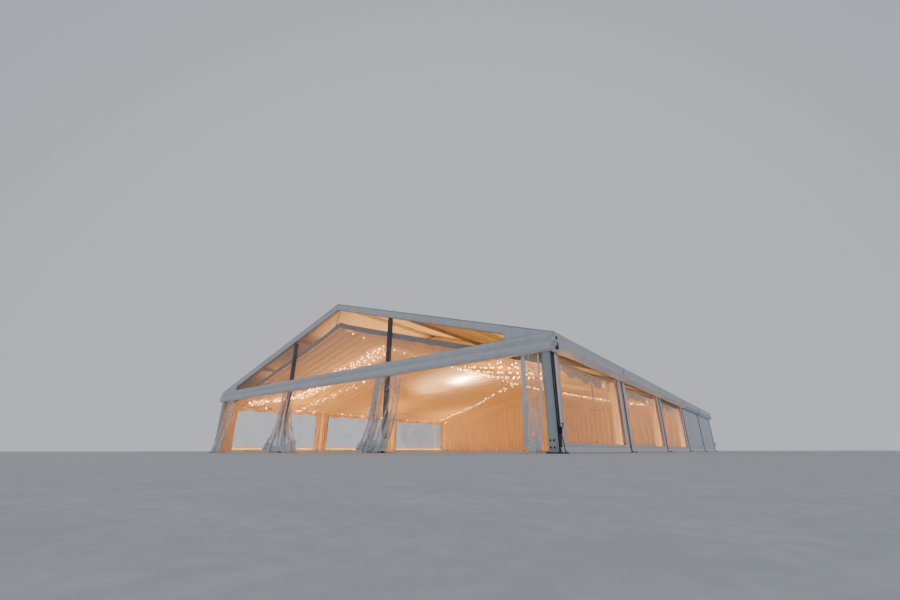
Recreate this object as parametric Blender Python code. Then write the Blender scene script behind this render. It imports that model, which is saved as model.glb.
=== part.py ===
"""Clear-span marquee tent, 15 m wide and five 5 m bays long, built at full size.

Aluminium portal frames stand on base plates. Purlins, eave beams and gable frames join them. White sheets
with clear windows cover the frames, a lining hangs inside the front bays up to a hanging end, and curtains
are drawn back at the open front.
X runs across the tent, Y from the front to the back, Z up. The origin is the footprint's centre, on the
ground.
"""

import math

import bmesh
import bpy
from mathutils import Vector
from mathutils.geometry import tessellate_polygon

# Overall layout, in metres
SPAN = 15.0
BAY = 5.0
BAYS = 5
WINDOW_BAYS = 3
PITCH = math.radians(17.2)
CLEARANCE = 0.0003

# Portal frames
FRAME_WIDTH = 0.11
LEG_DEPTH = 0.20
RAFTER_DEPTH = 0.20
PLATE_THICKNESS = 0.02
PLATE_LENGTH = 0.32
PLATE_INWARD = 0.03
PLATE_OUTWARD = 0.12

# Purlins and eave beams
PURLIN_WIDTH = 0.06
PURLIN_DEPTH = 0.10
UPPER_PURLIN_X = 2.5
LOWER_PURLIN_X = 5.0
EAVE_BEAM_WIDTH = 0.10
EAVE_BEAM_BOTTOM = 2.15

# Gable frames: a beam with two posts, behind the end of the outer portal frames
POST_X = 2.5
POST_WIDTH = 0.10
POST_DEPTH = 0.11
POST_SETBACK = 0.06
POST_PLATE_WIDTH = 0.32
GABLE_BEAM_BOTTOM = 2.08
GABLE_BEAM_TOP = 2.27

# Roof sheets and their hanging fascia
SHEET = 0.012
EAVE_Z = 2.40
EAVE_OVERHANG = 0.14
FASCIA_DROP = 0.40
VERGE_OVERHANG = 0.008
SEAM_HALF = 0.02

# Front gable window, with a short upright end on each side
GABLE_WINDOW_SILL = 2.40
GABLE_WINDOW_END = 0.155
VERGE_BORDER = 0.22

# Side walls
WALL_SETBACK = 0.018
WINDOW_SIDE_BORDER = 0.28
WINDOW_SILL = 0.20
WINDOW_HEAD = 2.05

# Floor
FLOOR_THICKNESS = 0.045

# Lining, whose front edge is tied up towards the apex
LINING_RIDGE_Z = 3.68
LINING_EDGE_Z = 1.95
LINING_SAG = 0.03
LINING_STEPS = 8
LINING_LEDGE = 0.10
LINING_FRONT_Z = 4.10
LINING_LIFT_LENGTH = 3.6
LINING_LIFT_STEPS = 6
WALL_LINING_DEPTH = 0.055
PELMET_BOTTOM = 1.70
LEG_DRAPE_WIDTH = 0.32

# Curtains at the front: x of both sides at the head and at the foot, and how far the foot stands forward
CURTAIN_HEAD_Z = 2.26
CURTAIN_FOOT_Z = 0.05
CURTAINS = {
    "curtain_left_corner": ((-6.96, -6.34), (-7.30, -6.32), 0.30),
    "curtain_left_post": ((-2.80, -2.05), (-3.38, -1.36), 0.20),
    "curtain_right_post": ((2.15, 3.15), (1.60, 2.76), 0.16),
    "curtain_right_corner": ((6.83, 7.29), (6.85, 7.26), 0.08),
}

# Places that follow from the sizes above
HALF_SPAN = SPAN / 2
LEG_INNER_X = HALF_SPAN - LEG_DEPTH
PLATE_INNER_X = LEG_INNER_X - PLATE_INWARD
FASCIA_X = HALF_SPAN + EAVE_OVERHANG
FASCIA_BOTTOM = EAVE_Z - FASCIA_DROP
RIDGE_Z = EAVE_Z + FASCIA_X * math.tan(PITCH)
HALF_LENGTH = BAY * BAYS / 2
FRAME_YS = [BAY * index - HALF_LENGTH for index in range(BAYS + 1)]
FRAME_END = HALF_LENGTH + FRAME_WIDTH / 2
POST_FRONT = FRAME_END - POST_SETBACK
POST_BACK = POST_FRONT - POST_DEPTH
GABLE_INNER = FRAME_END + CLEARANCE
GABLE_OUTER = GABLE_INNER + SHEET
GABLE_HALF = FASCIA_X - SHEET - CLEARANCE
WALL_FOOT_Z = PLATE_THICKNESS + CLEARANCE
WALL_OUTER_X = HALF_SPAN - WALL_SETBACK
LINING_X = LEG_INNER_X - CLEARANCE
WALL_LINING_X = LINING_X - WALL_LINING_DEPTH
LINING_FOOT_Z = FLOOR_THICKNESS + CLEARANCE
LINING_START = CLEARANCE - POST_BACK
LINING_END = FRAME_YS[WINDOW_BAYS] + LEG_DRAPE_WIDTH / 2


def roof_top(x):
    """Height of the roof sheet's upper face at x."""
    return RIDGE_Z - abs(x) * math.tan(PITCH)


def roof_under(x):
    """Height of the roof sheet's lower face at x."""
    return roof_top(x) - SHEET / math.cos(PITCH)


def rafter_top(x):
    """Height of the rafters' upper face at x, just under the sheet."""
    return roof_under(x) - CLEARANCE


def rafter_under(x):
    """Height of the rafters' lower face at x."""
    return rafter_top(x) - RAFTER_DEPTH / math.cos(PITCH)


def on_slope(x, along, depth, side=1):
    """The (x, z) point `along` the slope from the rafter's top at x, and `depth` square to it."""
    start = x / math.cos(PITCH) + along
    across = start * math.cos(PITCH) - depth * math.sin(PITCH)
    return side * across, rafter_top(0) - start * math.sin(PITCH) - depth * math.cos(PITCH)


def lining_ridge_z(y):
    """Height of the lining's ridge at y: level, with a curve up to the front edge."""
    share = max(1 - (y - LINING_START) / LINING_LIFT_LENGTH, 0.0)
    return LINING_RIDGE_Z + (LINING_FRONT_Z - LINING_RIDGE_Z) * share ** 2


def lining_z(x, y):
    """Height of the roof lining's upper face: a straight slope with a slack curve under it."""
    ridge = lining_ridge_z(y)
    share = min(abs(x) / (LINING_X - LINING_LEDGE), 1.0)
    slope = ridge + (LINING_EDGE_Z - ridge) * share
    return slope - 4 * LINING_SAG * share * (1 - share)


def mirrored(points):
    """The points followed by their mirror images across x = 0, in the order that closes an outline."""
    return points + [(-x, z) for x, z in reversed(points)]


def clear_scene():
    for obj in list(bpy.data.objects):
        bpy.data.objects.remove(obj, do_unlink=True)


def make_material(name, colour, roughness, metallic=0.0, alpha=1.0):
    material = bpy.data.materials.new(name)
    material.use_nodes = True
    shader = material.node_tree.nodes["Principled BSDF"]
    shader.inputs["Base Color"].default_value = (*colour, 1.0)
    shader.inputs["Roughness"].default_value = roughness
    shader.inputs["Metallic"].default_value = metallic
    shader.inputs["Alpha"].default_value = alpha
    material.diffuse_color = (*colour, alpha)
    return material


def add_object(name, shape, material):
    """Puts a finished bmesh into the scene under a name, with its faces turned outwards."""
    bmesh.ops.recalc_face_normals(shape, faces=shape.faces)
    mesh = bpy.data.meshes.new(name)
    shape.to_mesh(mesh)
    shape.free()
    mesh.materials.append(material)
    obj = bpy.data.objects.new(name, mesh)
    bpy.context.scene.collection.objects.link(obj)
    return obj


def along_axis(axis, point, distance):
    """A flat outline's point in space, `distance` along the axis that the outline is square to."""
    first, second = point
    if axis == "X":
        return Vector((distance, first, second))
    if axis == "Y":
        return Vector((first, distance, second))
    return Vector((first, second, distance))


def prism(name, axis, outline, start, end, material, holes=()):
    """A closed solid: a flat outline, with holes cut through it, drawn out along an axis."""
    loops = [outline, *holes]
    shape = bmesh.new()
    rings = []
    for distance in (start, end):
        rings.append([[shape.verts.new(along_axis(axis, p, distance)) for p in loop] for loop in loops])
    for near, far in zip(*rings):
        for index in range(len(near)):
            follows = (index + 1) % len(near)
            shape.faces.new((near[index], near[follows], far[follows], far[index]))
    triangles = tessellate_polygon([[Vector((*p, 0.0)) for p in loop] for loop in loops])
    for ring in rings:
        corners = [vert for loop in ring for vert in loop]
        for triangle in triangles:
            shape.faces.new([corners[index] for index in triangle])
    return add_object(name, shape, material)


def loft(name, sections, material):
    """A closed solid through rings of points, each ring with as many points as the next."""
    shape = bmesh.new()
    rings = [[shape.verts.new(point) for point in section] for section in sections]
    for low, high in zip(rings, rings[1:]):
        for index in range(len(low)):
            follows = (index + 1) % len(low)
            shape.faces.new((low[index], low[follows], high[follows], high[index]))
    shape.faces.new(rings[0])
    shape.faces.new(rings[-1])
    return add_object(name, shape, material)


def slab(name, rows, thickness, material):
    """A closed solid with a grid of points as its upper face, and the same face `thickness` lower."""
    shape = bmesh.new()
    rims = []
    for drop in (0.0, thickness):
        grid = [[shape.verts.new((x, y, z - drop)) for x, y, z in row] for row in rows]
        for row, beyond in zip(grid, grid[1:]):
            for index in range(1, len(row)):
                shape.faces.new((row[index - 1], row[index], beyond[index]))
                shape.faces.new((row[index - 1], beyond[index], beyond[index - 1]))
        right = [row[-1] for row in grid[1:-1]]
        left = [row[0] for row in reversed(grid[1:-1])]
        rims.append([*grid[0], *right, *reversed(grid[-1]), *left])
    upper, under = rims
    for index in range(len(upper)):
        shape.faces.new((upper[index - 1], upper[index], under[index], under[index - 1]))
    return add_object(name, shape, material)


def rectangle(x_range, y_range, heights):
    """Four corners around a rectangle, at one height or at a height for each end in x."""
    (x_low, x_high), (y_low, y_high) = x_range, y_range
    low, high = heights
    return [(x_low, y_low, low), (x_high, y_low, high), (x_high, y_high, high), (x_low, y_high, low)]


def build_legs(material):
    """Twelve legs with a base plate under each, their tops cut to the rafters' slope."""
    for side, label in ((-1, "left"), (1, "right")):
        plate_x = sorted((side * PLATE_INNER_X, side * (HALF_SPAN + PLATE_OUTWARD)))
        leg_x = sorted((side * LEG_INNER_X, side * HALF_SPAN))
        top = [rafter_under(x) - CLEARANCE for x in leg_x]
        for number, y in enumerate(FRAME_YS, start=1):
            plate_y = (y - PLATE_LENGTH / 2, y + PLATE_LENGTH / 2)
            leg_y = (y - FRAME_WIDTH / 2, y + FRAME_WIDTH / 2)
            sections = [
                rectangle(plate_x, plate_y, (0.0, 0.0)),
                rectangle(plate_x, plate_y, (PLATE_THICKNESS, PLATE_THICKNESS)),
                rectangle(leg_x, leg_y, (PLATE_THICKNESS, PLATE_THICKNESS)),
                rectangle(leg_x, leg_y, top),
            ]
            loft(f"leg_{label}_{number}", sections, material)


def build_rafters(material):
    """Six pairs of rafters, each pair joined at the ridge and notched for the purlins."""
    half_notch = PURLIN_WIDTH / 2 + CLEARANCE
    notch_depth = PURLIN_DEPTH + CLEARANCE
    under = [(0.0, rafter_under(0)), (HALF_SPAN, rafter_under(HALF_SPAN))]
    upper = [(HALF_SPAN, rafter_top(HALF_SPAN))]
    for x in (LOWER_PURLIN_X, UPPER_PURLIN_X):
        upper.append(on_slope(x, half_notch, 0.0))
        upper.append(on_slope(x, half_notch, notch_depth))
        upper.append(on_slope(x, -half_notch, notch_depth))
        upper.append(on_slope(x, -half_notch, 0.0))
    upper.append((half_notch, rafter_top(half_notch)))
    upper.append((half_notch, rafter_top(0) - notch_depth))
    right = under[1:] + upper
    outline = [under[0], *mirrored(right)]
    for number, y in enumerate(FRAME_YS, start=1):
        prism(f"rafters_{number}", "Y", outline, y - FRAME_WIDTH / 2, y + FRAME_WIDTH / 2, material)


def build_purlins(material):
    """The ridge purlin and two purlins on each slope, seated in the rafters' notches."""
    half = PURLIN_WIDTH / 2
    crown = [(0.0, rafter_top(0)), (half, rafter_top(half)), (half, rafter_top(0) - PURLIN_DEPTH)]
    ridge = [crown[0], *mirrored(crown[1:])]
    prism("ridge_purlin", "Y", ridge, -FRAME_END, FRAME_END, material)
    for side, label in ((-1, "left"), (1, "right")):
        for x, level in ((UPPER_PURLIN_X, "upper"), (LOWER_PURLIN_X, "lower")):
            outline = [
                on_slope(x, -half, 0.0, side),
                on_slope(x, half, 0.0, side),
                on_slope(x, half, PURLIN_DEPTH, side),
                on_slope(x, -half, PURLIN_DEPTH, side),
            ]
            prism(f"purlin_{label}_{level}", "Y", outline, -FRAME_END, FRAME_END, material)


def build_eave_beams(material):
    """A beam along each eave, outside the legs, whose top carries the edge of the roof sheets."""
    inner = HALF_SPAN + CLEARANCE
    outer = inner + EAVE_BEAM_WIDTH
    outline = [
        (inner, EAVE_BEAM_BOTTOM),
        (outer, EAVE_BEAM_BOTTOM),
        (outer, rafter_top(outer)),
        (inner, rafter_top(inner)),
    ]
    for side, label in ((-1, "left"), (1, "right")):
        placed = [(side * x, z) for x, z in outline]
        prism(f"eave_beam_{label}", "Y", placed, -FRAME_END, FRAME_END, material)


def build_gable_frames(material):
    """A beam between the corner legs at each end, in one piece with two posts up to the rafters."""
    inner = POST_X - POST_WIDTH / 2
    outer = POST_X + POST_WIDTH / 2
    plate_inner = POST_X - POST_PLATE_WIDTH / 2
    plate_outer = POST_X + POST_PLATE_WIDTH / 2
    right = [
        (inner, GABLE_BEAM_BOTTOM),
        (inner, PLATE_THICKNESS),
        (plate_inner, PLATE_THICKNESS),
        (plate_inner, 0.0),
        (plate_outer, 0.0),
        (plate_outer, PLATE_THICKNESS),
        (outer, PLATE_THICKNESS),
        (outer, GABLE_BEAM_BOTTOM),
        (LEG_INNER_X - CLEARANCE, GABLE_BEAM_BOTTOM),
        (LEG_INNER_X - CLEARANCE, GABLE_BEAM_TOP),
        (outer, GABLE_BEAM_TOP),
        (outer, rafter_under(outer) - CLEARANCE),
        (inner, rafter_under(inner) - CLEARANCE),
        (inner, GABLE_BEAM_TOP),
    ]
    outline = mirrored(right)
    prism("gable_frame_front", "Y", outline, -POST_FRONT, -POST_BACK, material)
    prism("gable_frame_back", "Y", outline, POST_BACK, POST_FRONT, material)


def build_roof_sheets(material):
    """One sheet for each bay, over both slopes and down the fascia on both sides."""
    inner_x = FASCIA_X - SHEET
    right = [
        (inner_x, roof_under(inner_x)),
        (inner_x, FASCIA_BOTTOM),
        (FASCIA_X, FASCIA_BOTTOM),
        (FASCIA_X, EAVE_Z),
    ]
    outline = [(0.0, roof_under(0)), *right, (0.0, RIDGE_Z), *[(-x, z) for x, z in reversed(right)]]
    for number in range(1, BAYS + 1):
        start = FRAME_YS[number - 1] + SEAM_HALF
        end = FRAME_YS[number] - SEAM_HALF
        if number == 1:
            start = -GABLE_OUTER - VERGE_OVERHANG
        if number == BAYS:
            end = GABLE_OUTER + VERGE_OVERHANG
        prism(f"roof_sheet_{number}", "Y", outline, start, end, material)


def gable_window(inset):
    """The outline of the front gable's clear window, made smaller by an inset."""
    shoulder = GABLE_WINDOW_SILL + GABLE_WINDOW_END
    half = (RIDGE_Z - VERGE_BORDER - shoulder) / math.tan(PITCH) - inset
    border = VERGE_BORDER + inset
    right = [(half, GABLE_WINDOW_SILL + inset), (half, roof_top(half) - border)]
    return [*right, (0.0, RIDGE_Z - border), *[(-x, z) for x, z in reversed(right)]]


def build_gables(white, clear):
    """The front gable's border and its clear window, and the closed wall of the back end."""
    crown = [(GABLE_HALF, FASCIA_BOTTOM), (GABLE_HALF, rafter_top(GABLE_HALF))]
    top = [(0.0, rafter_top(0)), *[(-x, z) for x, z in reversed(crown)]]
    front = (-GABLE_OUTER, -GABLE_INNER)
    prism("gable_border_front", "Y", crown + top, *front, white, holes=[gable_window(0.0)])
    prism("gable_window_front", "Y", gable_window(CLEARANCE), *front, clear)
    foot = [(HALF_SPAN, WALL_FOOT_Z), (HALF_SPAN, FASCIA_BOTTOM)]
    outline = foot + crown + top + [(-x, z) for x, z in reversed(foot)]
    prism("end_wall_back", "Y", outline, GABLE_INNER, GABLE_OUTER, white)


def side_window(start, end, inset):
    """The outline of a side wall's window between two ends in y, made smaller by an inset."""
    low = start + WINDOW_SIDE_BORDER + inset
    high = end - WINDOW_SIDE_BORDER - inset
    sill = WINDOW_SILL + inset
    head = WINDOW_HEAD - inset
    return [(low, sill), (high, sill), (high, head), (low, head)]


def build_side_walls(white, clear):
    """A wall panel in each bay on both sides; the front bays' panels have a clear window."""
    top = rafter_top(WALL_OUTER_X)
    for side, label in ((-1, "left"), (1, "right")):
        faces = sorted((side * WALL_OUTER_X, side * (WALL_OUTER_X - SHEET)))
        for number in range(1, BAYS + 1):
            start = FRAME_YS[number - 1] + FRAME_WIDTH / 2 + CLEARANCE
            end = FRAME_YS[number] - FRAME_WIDTH / 2 - CLEARANCE
            outline = [(start, WALL_FOOT_Z), (end, WALL_FOOT_Z), (end, top), (start, top)]
            holes = []
            if number <= WINDOW_BAYS:
                holes = [side_window(start, end, 0.0)]
                pane = side_window(start, end, CLEARANCE)
                prism(f"window_{label}_{number}", "X", pane, *faces, clear)
            prism(f"wall_{label}_{number}", "X", outline, *faces, white, holes=holes)


def build_floor(material):
    """The floor between the base plates, with a notch around the plate of each gable post."""
    half = PLATE_INNER_X - CLEARANCE
    notch_outer = POST_X + POST_PLATE_WIDTH / 2 + CLEARANCE
    notch_inner = POST_X - POST_PLATE_WIDTH / 2 - CLEARANCE
    notch_y = POST_BACK - CLEARANCE
    right = [
        (notch_inner, FRAME_END),
        (notch_inner, notch_y),
        (notch_outer, notch_y),
        (notch_outer, FRAME_END),
        (half, FRAME_END),
    ]
    back = [(-x, y) for x, y in reversed(right)] + right
    front = [(-x, -y) for x, y in back]
    prism("floor", "Z", back + front, 0.0, FLOOR_THICKNESS, material)


def lining_stations():
    """The x of each point along one half of the roof lining, from the peak to the ledge."""
    reach = LINING_X - LINING_LEDGE
    return [reach * step / LINING_STEPS for step in range(LINING_STEPS + 1)]


def build_roof_lining(material):
    """The slack lining under the rafters, from wall to wall, with a level ledge along each wall."""
    half = [*lining_stations(), LINING_X]
    xs = [-x for x in reversed(half[1:])] + half
    step = LINING_LIFT_LENGTH / LINING_LIFT_STEPS
    ys = [LINING_START + step * index for index in range(LINING_LIFT_STEPS + 1)]
    ys.append(LINING_END)
    rows = [[(x, y, lining_z(x, y)) for x in xs] for y in ys]
    slab("roof_lining", rows, SHEET, material)


def build_wall_linings(material):
    """The lining of each side wall: a pelmet, and a drape at each leg down to the floor."""
    top = LINING_EDGE_Z - SHEET - CLEARANCE
    start = -(HALF_LENGTH - FRAME_WIDTH / 2)
    end = LINING_END
    half = LEG_DRAPE_WIDTH / 2
    outline = [(start, LINING_FOOT_Z), (start, top), (end, top), (end, LINING_FOOT_Z)]
    for number in range(WINDOW_BAYS, 0, -1):
        far = FRAME_YS[number] - half
        near = FRAME_YS[number - 1] + half
        outline.append((far, LINING_FOOT_Z))
        outline.append((far, PELMET_BOTTOM))
        outline.append((near, PELMET_BOTTOM))
        outline.append((near, LINING_FOOT_Z))
    for side, label in ((-1, "left"), (1, "right")):
        faces = sorted((side * LINING_X, side * WALL_LINING_X))
        prism(f"wall_lining_{label}", "X", outline, *faces, material)


def build_end_lining(material):
    """The hanging cloth that closes the lined hall, from the floor up to the roof lining."""
    edge = WALL_LINING_X - CLEARANCE
    drop = SHEET + CLEARANCE
    half = [(x, lining_z(x, LINING_END) - drop) for x in lining_stations() if x < edge]
    half.append((edge, lining_z(edge, LINING_END) - drop))
    half.append((edge, LINING_FOOT_Z))
    outline = [half[0], *mirrored(half[1:])]
    prism("end_lining", "Y", outline, LINING_END - SHEET, LINING_END, material)


def build_curtains(material):
    """Four bunched curtains under the front gable: straight behind the gable's border, then flaring out."""
    head_y = (-FRAME_END, -POST_FRONT - CLEARANCE)
    border_z = FASCIA_BOTTOM - CLEARANCE
    for name, (head_x, foot_x, forward) in CURTAINS.items():
        foot_y = (head_y[0] - forward, head_y[1])
        sections = [
            rectangle(foot_x, foot_y, (CURTAIN_FOOT_Z, CURTAIN_FOOT_Z)),
            rectangle(head_x, head_y, (border_z, border_z)),
            rectangle(head_x, head_y, (CURTAIN_HEAD_Z, CURTAIN_HEAD_Z)),
        ]
        loft(name, sections, material)


def main():
    clear_scene()
    leg_aluminium = make_material("leg_aluminium", (0.56, 0.58, 0.61), 0.38, metallic=0.9)
    post_aluminium = make_material("dark_anodised_aluminium", (0.20, 0.20, 0.22), 0.38, metallic=0.9)
    silver = make_material("mill_finish_aluminium", (0.62, 0.63, 0.65), 0.35, metallic=0.95)
    white = make_material("white_coated_sheet", (0.84, 0.85, 0.86), 0.45)
    clear = make_material("clear_sheet", (0.86, 0.90, 0.92), 0.06, alpha=0.25)
    cloth = make_material("ivory_lining", (0.86, 0.78, 0.64), 0.8)
    curtain = make_material("clear_curtain", (0.80, 0.84, 0.86), 0.15, alpha=0.5)
    boards = make_material("floor_boards", (0.42, 0.36, 0.30), 0.6)
    build_legs(leg_aluminium)
    build_rafters(silver)
    build_purlins(silver)
    build_eave_beams(silver)
    build_gable_frames(post_aluminium)
    build_roof_sheets(white)
    build_gables(white, clear)
    build_side_walls(white, clear)
    build_floor(boards)
    build_roof_lining(cloth)
    build_wall_linings(cloth)
    build_end_lining(cloth)
    build_curtains(curtain)


main()
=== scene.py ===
"""Dresses the clear-span marquee tent: coated sheets, clear panes, lining, curtains, lights and fittings.

X runs across the tent, Y from its front to its back, Z up, in metres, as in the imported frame.
"""

import logging
import math
import random
from dataclasses import dataclass, field
from enum import Enum
from typing import Sequence

import bmesh
import bpy
import numpy as np
from mathutils import Matrix, Vector


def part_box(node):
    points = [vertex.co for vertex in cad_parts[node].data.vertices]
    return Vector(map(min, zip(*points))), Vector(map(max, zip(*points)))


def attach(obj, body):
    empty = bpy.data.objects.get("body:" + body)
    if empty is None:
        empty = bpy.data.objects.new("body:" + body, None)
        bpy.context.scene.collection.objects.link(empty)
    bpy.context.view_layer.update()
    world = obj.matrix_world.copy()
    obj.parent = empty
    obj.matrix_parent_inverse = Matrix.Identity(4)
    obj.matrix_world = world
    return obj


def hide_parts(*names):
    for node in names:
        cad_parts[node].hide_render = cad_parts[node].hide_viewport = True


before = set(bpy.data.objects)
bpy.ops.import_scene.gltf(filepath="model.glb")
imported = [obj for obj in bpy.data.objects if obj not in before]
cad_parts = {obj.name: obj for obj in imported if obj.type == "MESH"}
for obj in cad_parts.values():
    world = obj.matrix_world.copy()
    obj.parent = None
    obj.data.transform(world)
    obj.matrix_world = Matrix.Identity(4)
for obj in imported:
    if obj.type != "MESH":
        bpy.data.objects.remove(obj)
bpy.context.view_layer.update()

PHOTO_WIDTH = 900
SENSOR_WIDTH = 36.0
FOCAL_PIXELS = 394.3
TAU = math.tau
VALUE_SOCKET = "NodeSocketFloat"
COLOUR_SOCKET = "NodeSocketColor"
# Colour of the painted glow: warm emission on cloth and sheet that stands in for lamp light shining through
# them.
PAINTED_GLOW_COLOUR = (1.0, 0.42, 0.15, 1.0)
Colour = tuple[float, float, float]
Pair = tuple[float, float]
Triple = tuple[float, float, float]
Values = float | np.ndarray
Input = float | bpy.types.NodeSocket
LOG = logging.getLogger("marquee")


class Side(Enum):
    """The tent's two long sides, as the sign of their x."""

    LEFT = -1
    RIGHT = 1

    @property
    def label(self) -> str:
        """The side's name in the pieces' names."""
        return self.name.lower()


class Slot(Enum):
    """The record's material slots."""

    WHITE = "white_pvc"
    CLEAR = "clear_pvc"
    CURTAIN = "curtain_pvc"
    IVORY = "ivory_cloth"
    LEG = "leg_aluminium"
    DARK = "dark_aluminium"
    MILL = "mill_aluminium"
    BOARDS = "floor_boards"


class Held(Enum):
    """How a sheet is held in place."""

    STRETCHED = "stretched"
    HUNG = "hung"
    GATHERED = "gathered"


class NodeSketch:
    """Adds nodes to one shader tree and links them."""

    def __init__(self, tree: bpy.types.NodeTree) -> None:
        """Keeps the tree that the nodes go into."""
        self.tree = tree

    def node(self, kind: str, inputs: dict | None = None, **settings: object) -> bpy.types.Node:
        """Adds one node.

        Args:
            kind: the node's type, without its ShaderNode prefix.
            inputs: plain values or other nodes' outputs, by socket name or number.
            **settings: the node's own properties.

        Returns:
            The new node.
        """
        made = self.tree.nodes.new("ShaderNode" + kind)
        for name, value in settings.items():
            setattr(made, name, value)
        for socket, value in (inputs or {}).items():
            if isinstance(value, bpy.types.NodeSocket):
                self.tree.links.new(value, made.inputs[socket])
            else:
                made.inputs[socket].default_value = value
        return made

    def math(self, operation: str, first: Input, second: Input = 0.0) -> bpy.types.NodeSocket:
        """Combines two values or outputs and gives the result's socket."""
        return self.node("Math", {0: first, 1: second}, operation=operation).outputs[0]

    def link(self, output: bpy.types.NodeSocket, node: bpy.types.Node, name: str) -> None:
        """Links an output to the input of that name on another node."""
        self.tree.links.new(output, node.inputs[name])


def opaque(colour: Colour) -> tuple[float, float, float, float]:
    """The colour with an alpha of 1."""
    return (*colour, 1.0)


class EffectSketch(NodeSketch):
    """A node group in the making, with its named inputs and outputs."""

    def __init__(self, name: str, inputs: dict, outputs: Sequence[str]) -> None:
        """Starts the group.

        Args:
            name: the group's name.
            inputs: each input's default: a tuple for a colour, a number for a value.
            outputs: the outputs' names; the one named Color is a colour, the others are values.
        """
        super().__init__(bpy.data.node_groups.new(name, "ShaderNodeTree"))
        for label, value in inputs.items():
            kind = COLOUR_SOCKET if isinstance(value, tuple) else VALUE_SOCKET
            self.tree.interface.new_socket(name=label, in_out="INPUT", socket_type=kind).default_value = value
        for label in outputs:
            kind = COLOUR_SOCKET if label == "Color" else VALUE_SOCKET
            self.tree.interface.new_socket(name=label, in_out="OUTPUT", socket_type=kind)
        self.given = self.tree.nodes.new("NodeGroupInput").outputs
        self.result = self.tree.nodes.new("NodeGroupOutput")
        self.place = self.node("TexCoord").outputs["Object"]

    def noise(self, scale: Input, detail: float, twist: Input = 0.0,
              drawn: Triple | None = None) -> bpy.types.NodeSocket:
        """Adds noise over the object.

        Args:
            scale: how small it is.
            detail: how many finer layers it has.
            twist: how far it is distorted.
            drawn: scales for the three axes, where it is drawn out along one.

        Returns:
            The noise's value.
        """
        place = self.place
        if drawn:
            place = self.node("Mapping", {"Vector": place, "Scale": drawn}).outputs[0]
        inputs = {"Vector": place, "Scale": scale, "Detail": detail, "Distortion": twist}
        return self.node("TexNoise", inputs).outputs[0]

    def fit(self, value: bpy.types.NodeSocket, given: tuple[Input, Input],
            wanted: tuple[Input, Input] = (0.0, 1.0)) -> bpy.types.NodeSocket:
        """Fits a value's given range to the wanted one."""
        names = ("From Min", "From Max", "To Min", "To Max")
        return self.node("MapRange", {"Value": value, **dict(zip(names, (*given, *wanted)))}).outputs[0]

    def blend(self, mask: Input, first: Input, second: Input) -> bpy.types.NodeSocket:
        """Blends from one colour to another by a mask."""
        return self.node("Mix", {0: mask, 6: first, 7: second}, data_type="RGBA").outputs[2]

    def finish(self, **outputs: bpy.types.NodeSocket) -> bpy.types.NodeTree:
        """Links the outputs and gives the group's tree."""
        for name, output in outputs.items():
            self.link(output, self.result, name)
        return self.tree


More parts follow.
